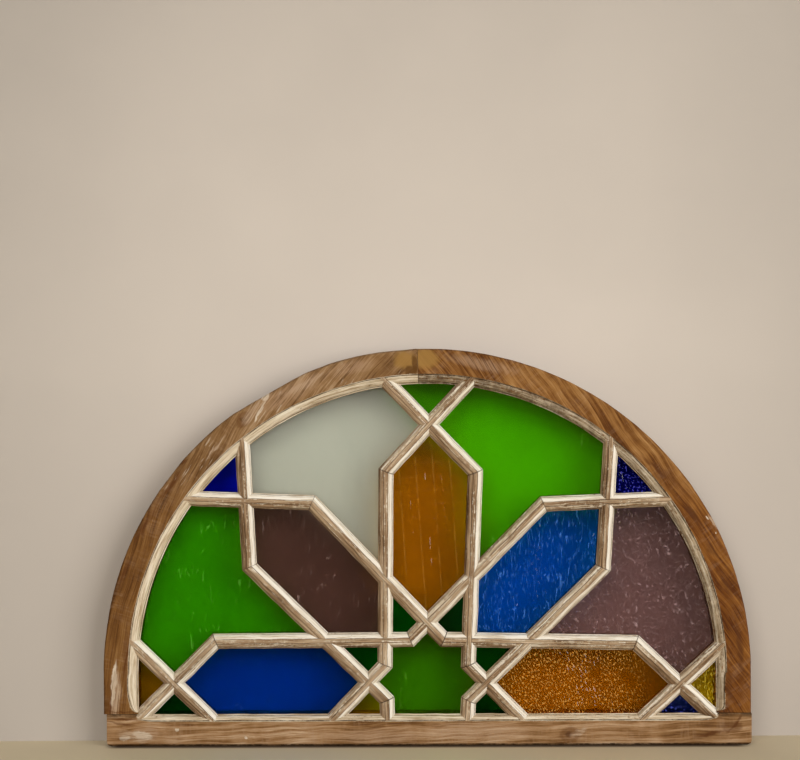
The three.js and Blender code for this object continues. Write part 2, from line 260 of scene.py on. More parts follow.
def vector_maths(tree, operation, *values):
    """One sum on vectors, or the length of one."""
    node = add(tree, "ShaderNodeVectorMath", {"operation": operation}, values)
    return node.outputs["Value" if operation == "LENGTH" else "Vector"]


def blend(tree, factor, a, b, way="MIX"):
    """Two colours mixed by a factor."""
    node = tree.nodes.new("ShaderNodeMix")
    node.data_type = "RGBA"
    node.blend_type = way
    for index, value in ((0, factor), (6, a), (7, b)):
        if isinstance(value, bpy.types.NodeSocket):
            tree.links.new(value, node.inputs[index])
        elif index:
            node.inputs[index].default_value = (*value, 1)
        else:
            node.inputs[index].default_value = value
    return node.outputs[2]


def card(tree, value, tones):
    """Colour from a row of tones, evenly spaced from value 0 to 1."""
    node = add(tree, "ShaderNodeValToRGB", (), (value,))
    elements = node.color_ramp.elements
    for _ in tones[2:]:
        elements.new(0.5)
    for number in range(len(tones)):
        elements[number].position = number / (len(tones) - 1)
    for number, tone in enumerate(tones):
        elements[number].color = (*tone, 1)
    return node.outputs[0]


def spot(tree, body, x, z, long, wide, lean):
    """1 at a place on the front face and 0 at the edge of an ellipse round it, given by its half
    axes in mm, the long one leaning by degrees from level."""
    settings = {"vector_type": "TEXTURE"}
    near = add(
        tree, "ShaderNodeMapping", settings, Vector=body, Location=(x * mm, front * mm, z * mm),
        Rotation=(0, -radians(lean), 0), Scale=(long * mm, 0.04, wide * mm),
    )
    return add(tree, "ShaderNodeTexGradient", {"gradient_type": "SPHERICAL"}, (near.outputs[0],)).outputs[1]


# Kinds of mark on the wood: colour, where it starts and is full in its ellipse, strength
mark_tones = {
    "knot": ((0.095, 0.036, 0.012), 0.2, 0.7, 0.7),
    "ring": ((0.13, 0.05, 0.014), 0.05, 0.35, 0.5),
    "dark": ((0.11, 0.036, 0.008), 0.0, 0.75, 0.85),
    "wedge": ((0.12, 0.05, 0.010), 0.05, 0.45, 0.85),
    "pale": ((0.52, 0.38, 0.26), 0.15, 0.7, 0.75),
    "haze": ((0.42, 0.27, 0.165), 0.0, 0.7, 0.6),
    "white": ((0.70, 0.60, 0.47), 0.2, 0.5, 0.95),
    "stain": ((0.34, 0.185, 0.048), 0.1, 0.55, 0.85),
}
scratch_tone = (0.62, 0.5, 0.37)
dirt_and_shade_tone = (0.052, 0.026, 0.010)
bent_grain_radius = 0.84


def stripped_pine(name, lean, wood_tones, paint_tones, marks=(), haze=0.0, hatch=0.0, low=None):
    """Pine with straight grain at a lean from level, or grain in arcs round a centre, or along the
    run when there is neither, with fine fibres, patches, saw marks and scratches; worn paint where
    the paint attribute plus noise is high, and paler where that attribute is high, which on the bars'
    edges and the arch's moulding is painted light; dirt and painted shade where the grime attribute
    is; marks listed for the front face; and a low part darkened by a tone."""
    material = bpy.data.materials.new(name)
    material.use_nodes = True
    tree = material.node_tree
    shader = tree.nodes["Principled BSDF"]
    run = add(tree, "ShaderNodeUVMap", {"uv_map": "run"}).outputs[0]
    body = add(tree, "ShaderNodeTexCoord").outputs["Object"]
    level = add(tree, "ShaderNodeSeparateXYZ", (), (body,)).outputs["Z"]

    # Grain: rings, fibres and saw marks are noise stretched along it.
    if lean is None:
        grain = run
        ring_scale, fibre_scale, saw_scale = (7, 130, 1), (16, 620, 1), (420, 60, 1)
    else:
        if isinstance(lean, tuple):
            rel = vector_maths(tree, "SUBTRACT", body, (lean[0] * mm, 0, lean[1] * mm))
            part = add(tree, "ShaderNodeSeparateXYZ", (), (rel,)).outputs
            far_off = vector_maths(tree, "LENGTH", vector_maths(tree, "MULTIPLY", rel, (1, 0, 1)))
            turned = times(tree, maths(tree, "ARCTAN2", part["Z"], part["X"]), bent_grain_radius)
            grain = add(tree, "ShaderNodeCombineXYZ", (), (turned, part["Y"], far_off)).outputs[0]
        else:
            grain = add(tree, "ShaderNodeMapping", Vector=body, Rotation=(0, radians(lean), 0)).outputs[0]
        ring_scale, fibre_scale, saw_scale = (6, 40, 250), (20, 300, 640), (330, 40, 30)
    bent = colour_cloud(tree, body, 14.0, 1.0)
    grain = vector_maths(tree, "MULTIPLY_ADD", bent, (0.012, 0.012, 0.012), grain)
    rings = ramp(tree, cloud(tree, stretched(tree, grain, ring_scale), 1.0, 3, 0.6), 0.38, 0.62)
    fibre = ramp(tree, cloud(tree, stretched(tree, grain, fibre_scale), 1.0, 4, 0.65), 0.34, 0.66)
    patch = ramp(tree, cloud(tree, body, 15.0, 4, 0.6), 0.34, 0.66)
    saw = ramp(tree, cloud(tree, stretched(tree, grain, saw_scale), 1.0, 2, 0.6), 0.4, 0.64)
    figure = plus(tree, times(tree, rings, 0.34), times(tree, fibre, 0.36), times(tree, patch, 0.30))
    wood = card(tree, figure, wood_tones)

    # Darker towards the bottom; soiling: a pale haze in the saw marks, slanting scratches, single marks.
    if low:
        darker = blend(tree, 1.0, wood, low, "MULTIPLY")
        wood = blend(tree, ramp(tree, level, 0.27, 0.37, 1.0, 0.0), wood, darker)
    if haze:
        veil = ramp(tree, cloud(tree, body, 34.0, 5, 0.7), 0.42, 0.66)
        wood = blend(tree, times(tree, veil, haze, saw), wood, mark_tones["haze"][0])
    if hatch:
        slant = stretched(tree, body, (38, 38, 420), radians(57))
        scratch = ramp(tree, cloud(tree, slant, 1.0, 3, 0.6), 0.58, 0.68)
        scratched = ramp(tree, cloud(tree, body, 21.0, 3, 0.6), 0.47, 0.6)
        high_up = ramp(tree, level, 0.26, 0.36)
        wood = blend(tree, times(tree, scratch, scratched, high_up, hatch), wood, scratch_tone)
    wobble = vector_maths(tree, "SUBTRACT", colour_cloud(tree, body, 75.0, 3.0), (0.5, 0.5, 0.5))
    ragged_body = vector_maths(tree, "MULTIPLY_ADD", wobble, (0.009, 0, 0.009), body)
    for kind, x, z, long, wide, lean_of_mark in marks:
        tone, starts, full_from, strength = mark_tones[kind]
        inside = spot(tree, ragged_body, x, z, long, wide, lean_of_mark)
        mask = ramp(tree, inside, starts, full_from, 0.0, strength)
        if kind in ("pale", "haze", "white"):
            mask = times(tree, mask, ramp(tree, fibre, 0.2, 0.65, 0.3, 1.0))
        if kind == "dark":
            mask = times(tree, mask, ramp(tree, rings, 0.2, 0.9, 1.0, 0.6))
        wood = blend(tree, mask, wood, tone)

    # Paint: it has gone in streaks along the run and in chips. Where the paint attribute is high it covers
    # more and is paler; on the bars' edges and the arch's moulding that attribute carries painted light,
    # paler towards the light and browner away from it.
    coat_and_painted_light = add(tree, "ShaderNodeAttribute", {"attribute_name": "paint"}).outputs["Fac"]
    streak = cloud(tree, stretched(tree, run, (24, 460, 1)), 1.0, 5, 0.7)
    chip = cloud(tree, body, 260.0, 4, 0.7)
    cover = plus(tree, times(tree, streak, 1.25), times(tree, chip, 0.75), -1.0, coat_and_painted_light)
    painted = ramp(tree, cover, 0.48, 0.60)
    stale = cloud(tree, stretched(tree, run, (20, 380, 1)), 1.0, 5, 0.7)
    paint_tone_and_light = plus(tree, ramp(tree, stale, 0.34, 0.66, 0.0, 0.62), ramp(tree, coat_and_painted_light, 0.45, 0.95, 0.0, 0.4))
    colour = blend(tree, painted, wood, card(tree, paint_tone_and_light, paint_tones))

    # Dirt and painted shade: dirt at the joints, dirt with painted shade in the quirks and on the arch's
    # moulding, and painted shadow at the rail's foot.
    grime_and_shade = add(tree, "ShaderNodeAttribute", {"attribute_name": "grime_and_shade"}).outputs["Fac"]
    clotted = ramp(tree, cloud(tree, body, 120.0, 4, 0.7), 0.36, 0.6, 0.45, 1.0)
    dirt_and_shade = times(tree, ramp(tree, grime_and_shade, 0.2, 0.95), clotted, 0.88)
    tree.links.new(blend(tree, dirt_and_shade, colour, dirt_and_shade_tone), shader.inputs["Base Color"])

    tree.links.new(ramp(tree, fibre, 0.0, 1.0, 0.62, 0.82), shader.inputs["Roughness"])
    shader.inputs["Specular IOR Level"].default_value = 0.2
    height = plus(tree, times(tree, fibre, 0.5), times(tree, painted, 0.6))
    height = plus(tree, height, times(tree, chip, 0.8), times(tree, saw, 0.1))
    bump = add(tree, "ShaderNodeBump", Height=height, Strength=0.5, Distance=0.0005)
    tree.links.new(bump.outputs[0], shader.inputs["Normal"])
    return material


def worn(rings, centre, amount, seed):
    """Points moved towards the section's middle line by up to the amount, by smooth noise, so
    that the piece stays within its full size."""
    x, y, z = rings[..., 0], rings[..., 1], rings[..., 2]
    dent = amount * (0.5 + 0.5 * ripple(seed, 70, x, y, z).clip(-1, 1))
    dent += 0.35 * amount * (0.5 + 0.5 * ripple(seed + 1, 14, x, y, z).clip(-1, 1))
    way = centre - rings
    length = np.linalg.norm(way, axis=-1, keepdims=True)
    return rings + way / np.maximum(length, 1e-6) * dent[..., None]


def smooth(value, low, high):
    """Smooth step from 0 at low to 1 at high."""
    t = ((value - low) / (high - low)).clip(0, 1)
    return t * t * (3 - 2 * t)


rail_tones = (
    (0.085, 0.030, 0.006), (0.19, 0.088, 0.027), (0.315, 0.170, 0.072), (0.43, 0.265, 0.142),
    (0.60, 0.42, 0.27),
)
paint_tones = ((0.20, 0.125, 0.06), (0.44, 0.325, 0.20), (0.74, 0.625, 0.46), (0.89, 0.81, 0.67))
# Marks: kind, x, z, half length, half width and lean in degrees
rail_marks = [
    ("haze", -345.8, 16.3, 24, 13, 0), ("white", -374, 11.4, 9, 5, 0), ("white", -352, 14, 17, 7, -12),
    ("pale", -360, 13, 32, 11, -8), ("white", -309, 21.2, 3.4, 3.0, 0), ("white", -225.4, 10.2, 3.2, 2.8, 0),
    ("dark", -380, 29, 22, 2.2, -6), ("dark", -372, 34, 24, 2.0, -4),
    ("ring", 174.9, 13.9, 15, 12, 0), ("knot", 174.9, 13.9, 8, 6.5, 0), ("pale", 187, 17, 16, 5, 28),
    ("ring", 376, 22.5, 16, 9, 0), ("dark", 352, 14, 40, 4, 12), ("dark", 380, 27, 20, 3, 50),
    ("haze", 60, 18, 90, 15, 0), ("haze", -60, 12, 80, 12, 0),
]
rail_wood = stripped_pine("stripped_pine_rail", 1.5, rail_tones, paint_tones, rail_marks, haze=0.25)

rail_left = -395.5
rail_right = outer
rail_corner = 6.0
rail_middle = 20.0
rail_wear = 0.5
stop_start = 338.0
stop_end = 359.0
moulding_paint = 0.74
face_paint = 0.08
rail_x = np.unique(np.concatenate([
    np.linspace(rail_left, rail_left + 8, 9), np.linspace(rail_left, rail_right, 270),
    np.linspace(rail_right - 8, rail_right, 9), np.linspace(stop_start, stop_end + 2, 20),
    -np.linspace(stop_start, stop_end + 2, 20),
]))
full = frame_section(rail_top, rail_top - rail_face)
stop = ((np.abs(rail_x) - stop_start) / (stop_end - stop_start)).clip(0, 1)
open_share = (0.05 + 0.95 * np.sqrt(1 - stop**2))[:, None]
from_sight = full[:, 0][None] + 0 * open_share
level = full[:, 1][None] + 0 * open_share
is_mould = (from_sight < rail_top - rail_face + 0.1) & (level < 7)
is_groove = (level > 7) & (level < 15) & (from_sight > 1) & (from_sight < 6)
reach_down = np.where(is_mould, from_sight * open_share, from_sight)
reach_down = np.where(is_groove & (np.abs(rail_x)[:, None] > stop_end), 0.02, reach_down)
depth_in = np.where(is_mould, level * open_share, level)
lift = 0.8 * smooth(np.abs(rail_x), stop_end - 2, stop_end + 1)[:, None]
rail_z = rail_top + lift * (from_sight < 10) - reach_down
end_gap = np.minimum(rail_x - rail_left, rail_right - rail_x).clip(0, rail_corner)
round_up = rail_corner - np.sqrt(rail_corner**2 - (rail_corner - end_gap) ** 2)
rail_z = np.maximum(rail_z, round_up[:, None])
rail_rings = np.stack([np.broadcast_to(rail_x[:, None], rail_z.shape), front + depth_in, rail_z], -1)
rail_centre = np.stack([rail_rings[..., 0], 0 * rail_z, 0 * rail_z + rail_middle], -1)
sole = (rail_z < 0.5) & (np.abs(rail_rings[..., 1]) < 19)
rail_worn = np.where(sole[..., None], rail_rings, worn(rail_rings, rail_centre, rail_wear, 11))
rail_paint = np.where(is_mould, moulding_paint * (open_share > 0.2), face_paint)
rail_dirt_and_shadow = full[:, 2][None] * (open_share > 0.3)
under_leg = (np.abs(rail_x)[:, None] > 357) & (rail_z > rail_top - 1.4)
rail_dirt_and_shadow = np.maximum(rail_dirt_and_shadow, 0.9 * under_leg)
# Painted shadow: the lowest 3 mm of the rail are darkened fully, where it stands on the floor.
rail_dirt_and_shadow = np.maximum(rail_dirt_and_shadow, 1.0 * (rail_z < 3.0))
rail_mesh = carry("rail", rail_worn, way_round(full), rail_x + 900, rail_paint, rail_dirt_and_shadow)
place("rail_board", rail_mesh, rail_wood, "bottom_rail")

# Arch: two bent halves of the same stripped pine, butted just left of the top and standing
# with short straight legs on the rail; the left half's rim has a flat sawn across it.
joint_angle = pi / 2 + 0.028
flat_angle = radians(119.5)
flat_reach = outer * 0.991
leg_foot = rail_height + 0.15
arch_wear = 0.45
leg_moulding_end = 47.5


def arch_path(side, start):
    """Stations down one half: angle from the top joint to the spring line, then the height down
    the straight leg. Gives the middle of the sight edge, its outward direction and the way gone."""
    angle = np.concatenate([[start, start + 0.5 / outer], np.linspace(start + 1.2 / outer, pi, 150)])
    drop = np.linspace(0, spring_height - leg_foot, 40)[1:]
    angles = np.concatenate([angle, np.full(len(drop), pi)])
    down = np.concatenate([np.zeros(len(angle)), drop])
    out = np.stack([-side * np.cos(angles), np.sin(angles)], -1)
    return angles, down, out, (angles - start) * outer + down


def arch_half(side, name, node, wood, seed):
    """One half of the arch: the frame's section carried round the half circle and down the leg,
    each point at sight radius plus its reach, in the direction of the station. The leg's moulding
    swells a little and closes to a point above the rail."""
    start = (joint_angle if side < 0 else pi - joint_angle) + 0.15 / outer
    angles, down, out, along = arch_path(side, start)
    section = frame_section(face_width + mould_width, mould_width)
    base = section[:, 0][None]
    reach = base + 0 * angles[:, None]
    depths = section[:, 1][None] + 0 * angles[:, None]
    height = spring_height - down
    moulding = (base < mould_width + 0.1) & (section[:, 1][None] < 7)
    swollen = (1.3 if side < 0 else -2.4) * smooth(down, -6, 8) * (down > 0) + 0 * angles
    taper = 14 if side < 0 else 40
    closing = ((down - taper) / (leg_moulding_end - taper)).clip(0, 1)
    open_share = 0.04 + 0.96 * np.sqrt(1 - closing**2)
    grow = (1 + swollen / mould_width) * open_share
    reach = np.where(moulding, reach * grow[:, None], reach)
    depths = np.where(moulding, depths * open_share[:, None], depths)
    rim = np.full(len(angles), outer - 0.35)
    if side < 0:
        rim = np.minimum(rim, flat_reach / np.cos(angles - flat_angle).clip(0.3))
        rim = rim - 0.5 * smooth(np.sin(angles * 23 + 1.0), 0.2, 1.0) * (angles < 2.6)
    scale = (rim - sight) / (outer - sight)
    reach = np.where(base > mould_width + 1, reach * scale[:, None], reach)
    radius = sight + reach
    x = radius * out[:, None, 0]
    z = height[:, None] + radius * out[:, None, 1]
    rings = np.stack([x, front + depths, z], -1)
    middle = sight + (face_width + mould_width) / 2
    centre_z = height[:, None] + middle * out[:, None, 1] + 0 * x
    centre = np.stack([middle * out[:, None, 0] + 0 * x, 0 * x, centre_z], -1)
    rings = worn(rings, centre, arch_wear, seed)
    rings[-1, :, 2] = leg_foot
    # The right half's moulding faces away from the light: it keeps less paint, of a browner tone, and is
    # darkened more than the left's, partly by dirt and partly as painted shade. Towards the top joint both
    # halves keep less paint and hold more dirt.
    kept_and_lit = (0.80 if side < 0 else 0.67) - 0.06 * (1 - smooth(angles - start, 0.15, 0.6))
    soiled_and_shaded = (0.22 if side < 0 else 0.56) + 0.16 * (1 - smooth(angles - start, 0.3, 0.9))
    paint = np.where(moulding, kept_and_lit[:, None], 0.06) * (open_share[:, None] > 0.08)
    ends = np.zeros(len(angles))
    ends[[0, -1]] = 1
    ends[[1, -2]] = 0.4
    dirt_and_shade = section[:, 2][None] * (open_share[:, None] > 0.3)
    dirt_and_shade = np.maximum(dirt_and_shade, ends[:, None] * np.where(moulding, 1, 0.5))
    dirt_and_shade = np.maximum(dirt_and_shade, soiled_and_shaded[:, None] * moulding)
    mesh = carry(name, rings, way_round(section), along + seed * 40, paint, dirt_and_shade)
    place(name, mesh, wood, node)


left_tones = (
    (0.090, 0.036, 0.009), (0.155, 0.074, 0.024), (0.235, 0.124, 0.048), (0.31, 0.18, 0.082),
    (0.44, 0.30, 0.175),
)
left_marks = [
    ("ring", -225, 404, 15, 9, 50), ("knot", -225.4, 404.3, 6, 4, 35),
    ("wedge", -225.4, 404.3, 3.6, 2.6, 35), ("white", -204.6, 415, 22, 2.2, 61),
    ("white", -198, 431, 8, 5, 40), ("pale", -215, 412, 26, 8, 52), ("pale", -262, 366, 34, 2.4, 55),
    ("pale", -150, 446, 40, 7, 30), ("haze", -170, 436, 70, 16, 28), ("haze", -95, 466, 40, 12, 14),
    ("stain", -26, 476, 20, 16, 0), ("wedge", -19, 463, 9, 9, 0),
    ("wedge", -15, 472, 15, 5, 100), ("dark", -316, 322, 40, 5, 52),
    ("dark", -345, 276, 34, 5, 60), ("dark", -372, 216, 22, 4, 66), ("dark", -388, 60, 40, 6, 84),
    ("white", -386, 78, 40, 4.2, 86), ("pale", -384, 66, 46, 9, 88), ("dark", -372, 110, 50, 5, 88),
    ("dark", -300, 352, 12, 3, 20), ("dark", -376, 43.5, 26, 1.6, 0),
]
left_wood = stripped_pine(
    "stripped_pine_left", (456, -25), left_tones, paint_tones, left_marks,
    haze=0.25, hatch=0.6, low=(0.72, 0.57, 0.34),
)
arch_half(-1, "arch_half_left", "arch_left", left_wood, 21)
right_tones = (
    (0.070, 0.018, 0.002), (0.135, 0.046, 0.007), (0.240, 0.102, 0.024), (0.335, 0.162, 0.048),
    (0.45, 0.25, 0.095),
)
right_marks = [
    ("stain", -4, 477, 26, 17, 0), ("dark", 298.9, 329.4, 20, 5.5, -50), ("dark", 327, 286.5, 22, 6, -52),
    ("dark", 350.4, 241, 18, 6, -56), ("dark", 369, 195.6, 20, 5, -62), ("dark", 280, 344, 30, 3, -44),
    ("pale", 352, 276, 16, 3, -62), ("white", 346, 281, 2.8, 1.7, -50), ("white", 357, 262, 2.2, 1.5, -60),
    ("dark", 385, 120, 50, 5, -84), ("haze", 70, 470, 60, 10, -12), ("dark", 372, 70, 30, 6, -88),
]
right_wood = stripped_pine(
    "stripped_pine_right", -54, right_tones, paint_tones, right_marks, haze=0.2, low=(0.76, 0.60, 0.36),
)
arch_half(1, "arch_half_right", "arch_right", right_wood, 31)

# Lattice: slim pine bars with a flat top, a small step and a convex edge on both sides,
# mitred at the bends, halved and scribed over each other at the crossings, thickly painted once.
petal = outer * 0.785
star = petal * 0.1688
figure_x = 1.0
figure_z = spring_height - 12.3
foot_drop = figure_z - rail_face
tip = star * sqrt(2)
inner = tip - star
bend = petal - star
diag = petal / sqrt(2)
turn = diag - tip
bar_half = 9.2
bar_front = front + 0.5
bar_depth = 30.0
web_half = 4.9
bar_top_paint = 0.46
bar_back_paint = 0.25


def off(x, z, dx=0.0, dz=0.0):
    """Point of the figure, moved by the maker's small error."""
    return np.array([figure_x + x + dx, figure_z + z + dz])


def on_arch(degrees):
    """Point on the arch at the outer edge of its moulding."""
    angle = radians(degrees)
    reach = sight + mould_width
    return np.array([reach * cos(angle), spring_height + reach * sin(angle)])


def on_rail(x, shift):
    """Point on the rail at the lower edge of its moulding."""
    return off(x, -foot_drop, shift)


runs = {
    "sweep_left": [
        on_arch(144.1), off(-turn, diag, 4.3, 0.6), off(inner, star, -2.4),
        off(bend, star, -4.8, -4.5), on_rail(petal + foot_drop, -3.7),
    ],
    "sweep_right": [
        on_arch(35.5), off(turn, diag, -4.1, -1.8), off(-inner, star),
        off(-bend, star, -1.1, -1.5), on_rail(-petal - foot_drop, 0.5),
    ],
    "crown_left": [on_arch(81.1), off(-star, bend, 1.6), off(-star, inner), on_rail(-tip - foot_drop, 3)],
    "crown_right": [
        on_arch(98.5), off(star, bend, 6, -1.5), off(star, inner, -3.2, -0.6), on_rail(tip + foot_drop, -4.5),
    ],
    "shoulder_left": [on_arch(128.1), off(-diag, turn, 2, -3.5), off(-star, -inner, 2), on_rail(-star, 3)],
    "shoulder_right": [
        on_arch(51.95), off(diag, turn, -5.5, -6), off(star, -inner, -3.2, -0.6), on_rail(star, -4.5),
    ],
    "foot_left": [on_arch(173.7), on_rail(-petal + foot_drop, 1)],
    "foot_right": [on_arch(5.6), on_rail(petal - foot_drop, -3.3)],
}
order = list(runs)
swapped = [
    ("crown_right", "sweep_left"), ("crown_right", "sweep_right"), ("shoulder_right", "crown_right"),
    ("foot_left", "sweep_right"), ("foot_right", "sweep_left"),
]


def passes_over(run, other):
    """Whether a run lies in front of another where they cross: the earlier one, but for a few."""
    if (run, other) in swapped:
        return True
    return (other, run) not in swapped and order.index(run) < order.index(other)


def cross2(a, b):
    """Signed area between two plane vectors."""
    return a[..., 0] * b[..., 1] - a[..., 1] * b[..., 0]


def meeting(a, b, c, d):
    """Point where stretch a-b crosses stretch c-d, or None."""
    r, s = b - a, d - c
    area = cross2(r, s)
    if abs(area) < 1e-9:
        return None
    t = cross2(c - a, s) / area
    w = cross2(c - a, r) / area
    return a + t * r if 0 < t < 1 and 0 < w < 1 else None


def crossing(name_a, name_b):
    """Point where two runs cross."""
    for a, b in zip(runs[name_a], runs[name_a][1:]):
        for c, d in zip(runs[name_b], runs[name_b][1:]):
            point = meeting(a, b, c, d)
            if point is not None:
                return point
    raise ValueError(name_a + " " + name_b)


bar_swell = np.linspace(0, pi / 2, 9)
# The bar's edge: the quirk beside the flat top and the step by the fillet are darkened, partly for dirt and
# partly as painted shade.
bar_edge = np.concatenate([
    [[2.0, 0, 0], [2.35, 0.1, 0.2], [2.5, 0.5, 0.7], [2.65, 1.2, 1], [2.95, 1.3, 1]],
    clean(np.stack([3.1 + 4.7 * np.sin(bar_swell), 1.1 + 4.3 * (1 - np.cos(bar_swell))], 1)),
    [[7.85, 6.1, 1], [8.2, 6.2, 1], [8.35, 5.6, 0.3], [9.0, 5.75, 0], [bar_half, 6.2, 0]],
])
lap = glass_y - bar_front


def bar_width_at(level):
    """Half width of a bar at a depth below its flat top."""
    return np.interp(level, [0, 1.3, 2.0, 3.2, 5.4, 6.2], [2.4, 3.1, 5.7, 7.1, 7.9, bar_half])


def front_shell():
    """Right half of the part in front of the glass, as [half width, depth, dirt and painted shade], from the
    top.
    """
    groove = groove_front - bar_front
    side = clean([[bar_half, 8.0], [bar_half, groove], [web_half, groove], [web_half, lap + 0.1]])
    return np.concatenate([clean([[0.0, 0], [1.3, 0]]), bar_edge, side])


def rear_shell():
    """Right half of the part behind the glass, from the lap to the plain chamfered back."""
    groove = groove_back - bar_front
    return clean([
        [0, lap - 0.1], [web_half, lap - 0.1], [web_half, groove], [bar_half, groove], [bar_half, 18],
        [bar_half, 23.6], [8.9, 24.3], [5.2, 29.4], [4.4, bar_depth], [2.2, bar_depth], [0, bar_depth],
    ])


def frame_reach(level, width):
    """How far the frame's moulding reaches out from the sight edge at a depth behind its face."""
    reaches = [width, width - 0.6, width * 0.66, width * 0.36, 1.5, 0]
    return np.interp(level, [0, 1.3, 2.3, 4.0, 6.6, 7.0], reaches)


def to_frame(point, way, side, u, level):
    """Distance along the bar at which each line of its section has reached the frame: the circle
    of the arch above the spring line, the straight legs below it, and the rail, the nearest one."""
    base = point[None] + side[None] * u[:, None]
    reach = frame_reach(level + 0.5, mould_width) + 0.8
    radius = sight + reach
    centre = np.array([0.0, spring_height])
    rel = base - centre
    b = rel @ way
    c = (rel**2).sum(1) - radius**2
    on_circle = -b + np.sqrt(np.maximum(b * b - c, 0))
    low = (base + on_circle[:, None] * way)[:, 1] < spring_height
    if abs(way[0]) > 1e-6:
        on_leg = (radius * np.sign(way[0]) - base[:, 0]) / way[0]
        on_circle = np.where(low, on_leg, on_circle)
    if way[1] < -0.1:
        rail_level = rail_top - frame_reach(level + 0.5, rail_top - rail_face) - 0.8
        on_circle = np.minimum(on_circle, (rail_level - base[:, 1]) / way[1])
    return on_circle


def bar_shells(run, number):
    """The closed shells of one straight bar, in front of and behind the lap, each carried along
    the bar's line; each line of a shell ends where it meets the mitre, the frame or a bar over it."""
    line = runs[run]
    a, b = line[number], line[number + 1]
    length = np.linalg.norm(b - a)
    way = (b - a) / length
    side = np.array([way[1], -way[0]])
    rank = order.index(run)
    seed = 100 + 7 * rank + number
    others = []
    for other in order:
        for c, d in zip(runs[other], runs[other][1:]):
            point = None if other == run else meeting(a, b, c, d)
            if point is not None:
                across = np.array([-(d - c)[1], (d - c)[0]]) / np.linalg.norm(d - c)
                others.append(((point - a) @ way, across, passes_over(other, run)))
    others.sort(key=lambda item: item[0])
    shells = []
    for half, is_front in ((front_shell(), True), (rear_shell(), False)):
        mirrored = half * [-1, 1, 1]
        section = np.concatenate([half, mirrored[:0:-1] if is_front else mirrored[-2:0:-1]])
        u, level, dirt_and_shade = section.T
        ends = []
        for point, neighbour, sign in ((a, number - 1, -1), (b, number + 2, 1)):
            if 0 <= neighbour < len(line):
                away = line[neighbour] - point
                bisector = away / np.linalg.norm(away) - sign * way
                bisector = bisector / np.linalg.norm(bisector)
                gap = 0.10 + 0.16 * ((3 * number + 5 * rank + sign) % 4 == 0)
                ends.append(u * (bisector @ way) / (bisector @ side) - sign * gap / abs(bisector @ side))
            else:
                ends.append(sign * to_frame(point, sign * way, side, u, level))
        starts = [ends[0]]
        stops = []
        for where, across, over in others:
            if over == is_front:
                lean, own = across @ way, across @ side
                if is_front:
                    width = bar_width_at(level)
                else:
                    width = np.interp(level, [0, 23.6, 29.7], [bar_half, bar_half, 4.7])
                width = width + 0.2
                stops.append(where - width / abs(lean) - u * own / lean)
                starts.append(where + width / abs(lean) - u * own / lean)
        stops.append(length + ends[1])
        for start, stop in zip(starts, stops):
            long = (stop - start).mean()
            ease = np.array([0, 0.25, 0.8]) / long
            inner = np.linspace(1.8, long - 1.8, max(3, int(long / 2.2))) / long
            t = np.concatenate([ease, inner, 1 - ease[::-1]])[:, None]
            ended = np.minimum(t, 1 - t) * long
            along = start[None] + (stop - start)[None] * t
            x = a[0] + way[0] * along + side[0] * u[None]
            z = a[1] + way[1] * along + side[1] * u[None]
            y = bar_front + level[None] + 0 * along
            if is_front:
                raised = (level < 6.5)[None]
                dent = 0.20 + 0.20 * ripple(seed, 45, x, z) + 0.09 * ripple(seed + 1, 9, x, y, z)
                nick = 0.8 * smooth(ripple(seed + 2, 12, x, z), 0.9, 1.7)
                edge = (np.abs(u) > 1.6) & (np.abs(u) < 2.4)
                y = y + raised * (dent.clip(0, 0.7) + 0.3 * (1 - smooth(ended, 0, 0.5))) + edge[None] * nick
                wander = 0.20 * ripple(seed + 3, 60, x, z) * raised
                x = x + side[0] * wander
                z = z + side[1] * wander
            rings = np.stack([x, y, z], -1)
            # Painted light: the bar's edges that face up and to the right, towards the light, get more paint
            # of a paler tone, and those that face away get less paint of a browner tone; the fillets keep a
            # little less.
            lit = np.sign(u) * (0.8 * side[0] + 0.45 * side[1])
            edge_paint_and_light = 0.66 + 0.32 * lit.clip(0, 1) + 0.32 * lit.clip(-1, 0)
            edge_paint_and_light = edge_paint_and_light - 0.10 * (np.abs(u) > 8.3)
            paint = np.where(np.abs(u) < 2.55, bar_top_paint, edge_paint_and_light) if is_front else bar_back_paint
            grime_and_shade = np.maximum(dirt_and_shade[None], (level < 9)[None] * (1 - smooth(ended, 0.1, 0.7)))
            place_along = (rank * 8 + number) * 310.0 + along.mean(1)
            shells.append((rings, way_round(section), place_along, paint, grime_and_shade))
    return shells


def join_shells(name, shells):
    """One mesh from several closed shells."""
    meshes = [carry(name, *shell) for shell in shells]
    target = meshes[0]
    if len(meshes) > 1:
        builder = bmesh.new()
        for mesh in meshes:
            face_outwards(mesh)
            builder.from_mesh(mesh)
        builder.to_mesh(target)
        builder.free()
        target.update()
    return target


bar_tones = (
    (0.070, 0.033, 0.012), (0.19, 0.108, 0.052), (0.36, 0.235, 0.135), (0.53, 0.385, 0.25),
    (0.74, 0.60, 0.44),
)
coat_tones = ((0.25, 0.165, 0.09), (0.60, 0.49, 0.35), (0.90, 0.83, 0.71), (0.96, 0.91, 0.82))
bar_wood = stripped_pine("painted_pine_bars", None, bar_tones, coat_tones)
for run in order:
    count = len(runs[run]) - 1
    for number in range(count):
        node = run if count == 1 else f"{run}_{number + 1}"
        place("bar_" + node, join_shells(node, bar_shells(run, number)), bar_wood, node)

# Panes: 3 mm sheets of coloured glass, each cut to its opening and held in the grooves; some
# are pressed or rolled with a relief on the front, the others are drawn sheet, nearly flat.
beyond = 130.0
pane_clear = bar_half - groove_depth + groove_play


def at(run, index):
    """A bend of a run."""
    return runs[run][index]


def far(run, at_end):
    """A run's end carried on past the frame."""
    p, q = (runs[run][-2], runs[run][-1]) if at_end else (runs[run][1], runs[run][0])
    reach = 30.0 if at_end else beyond
    return q + (q - p) / np.linalg.norm(q - p) * reach


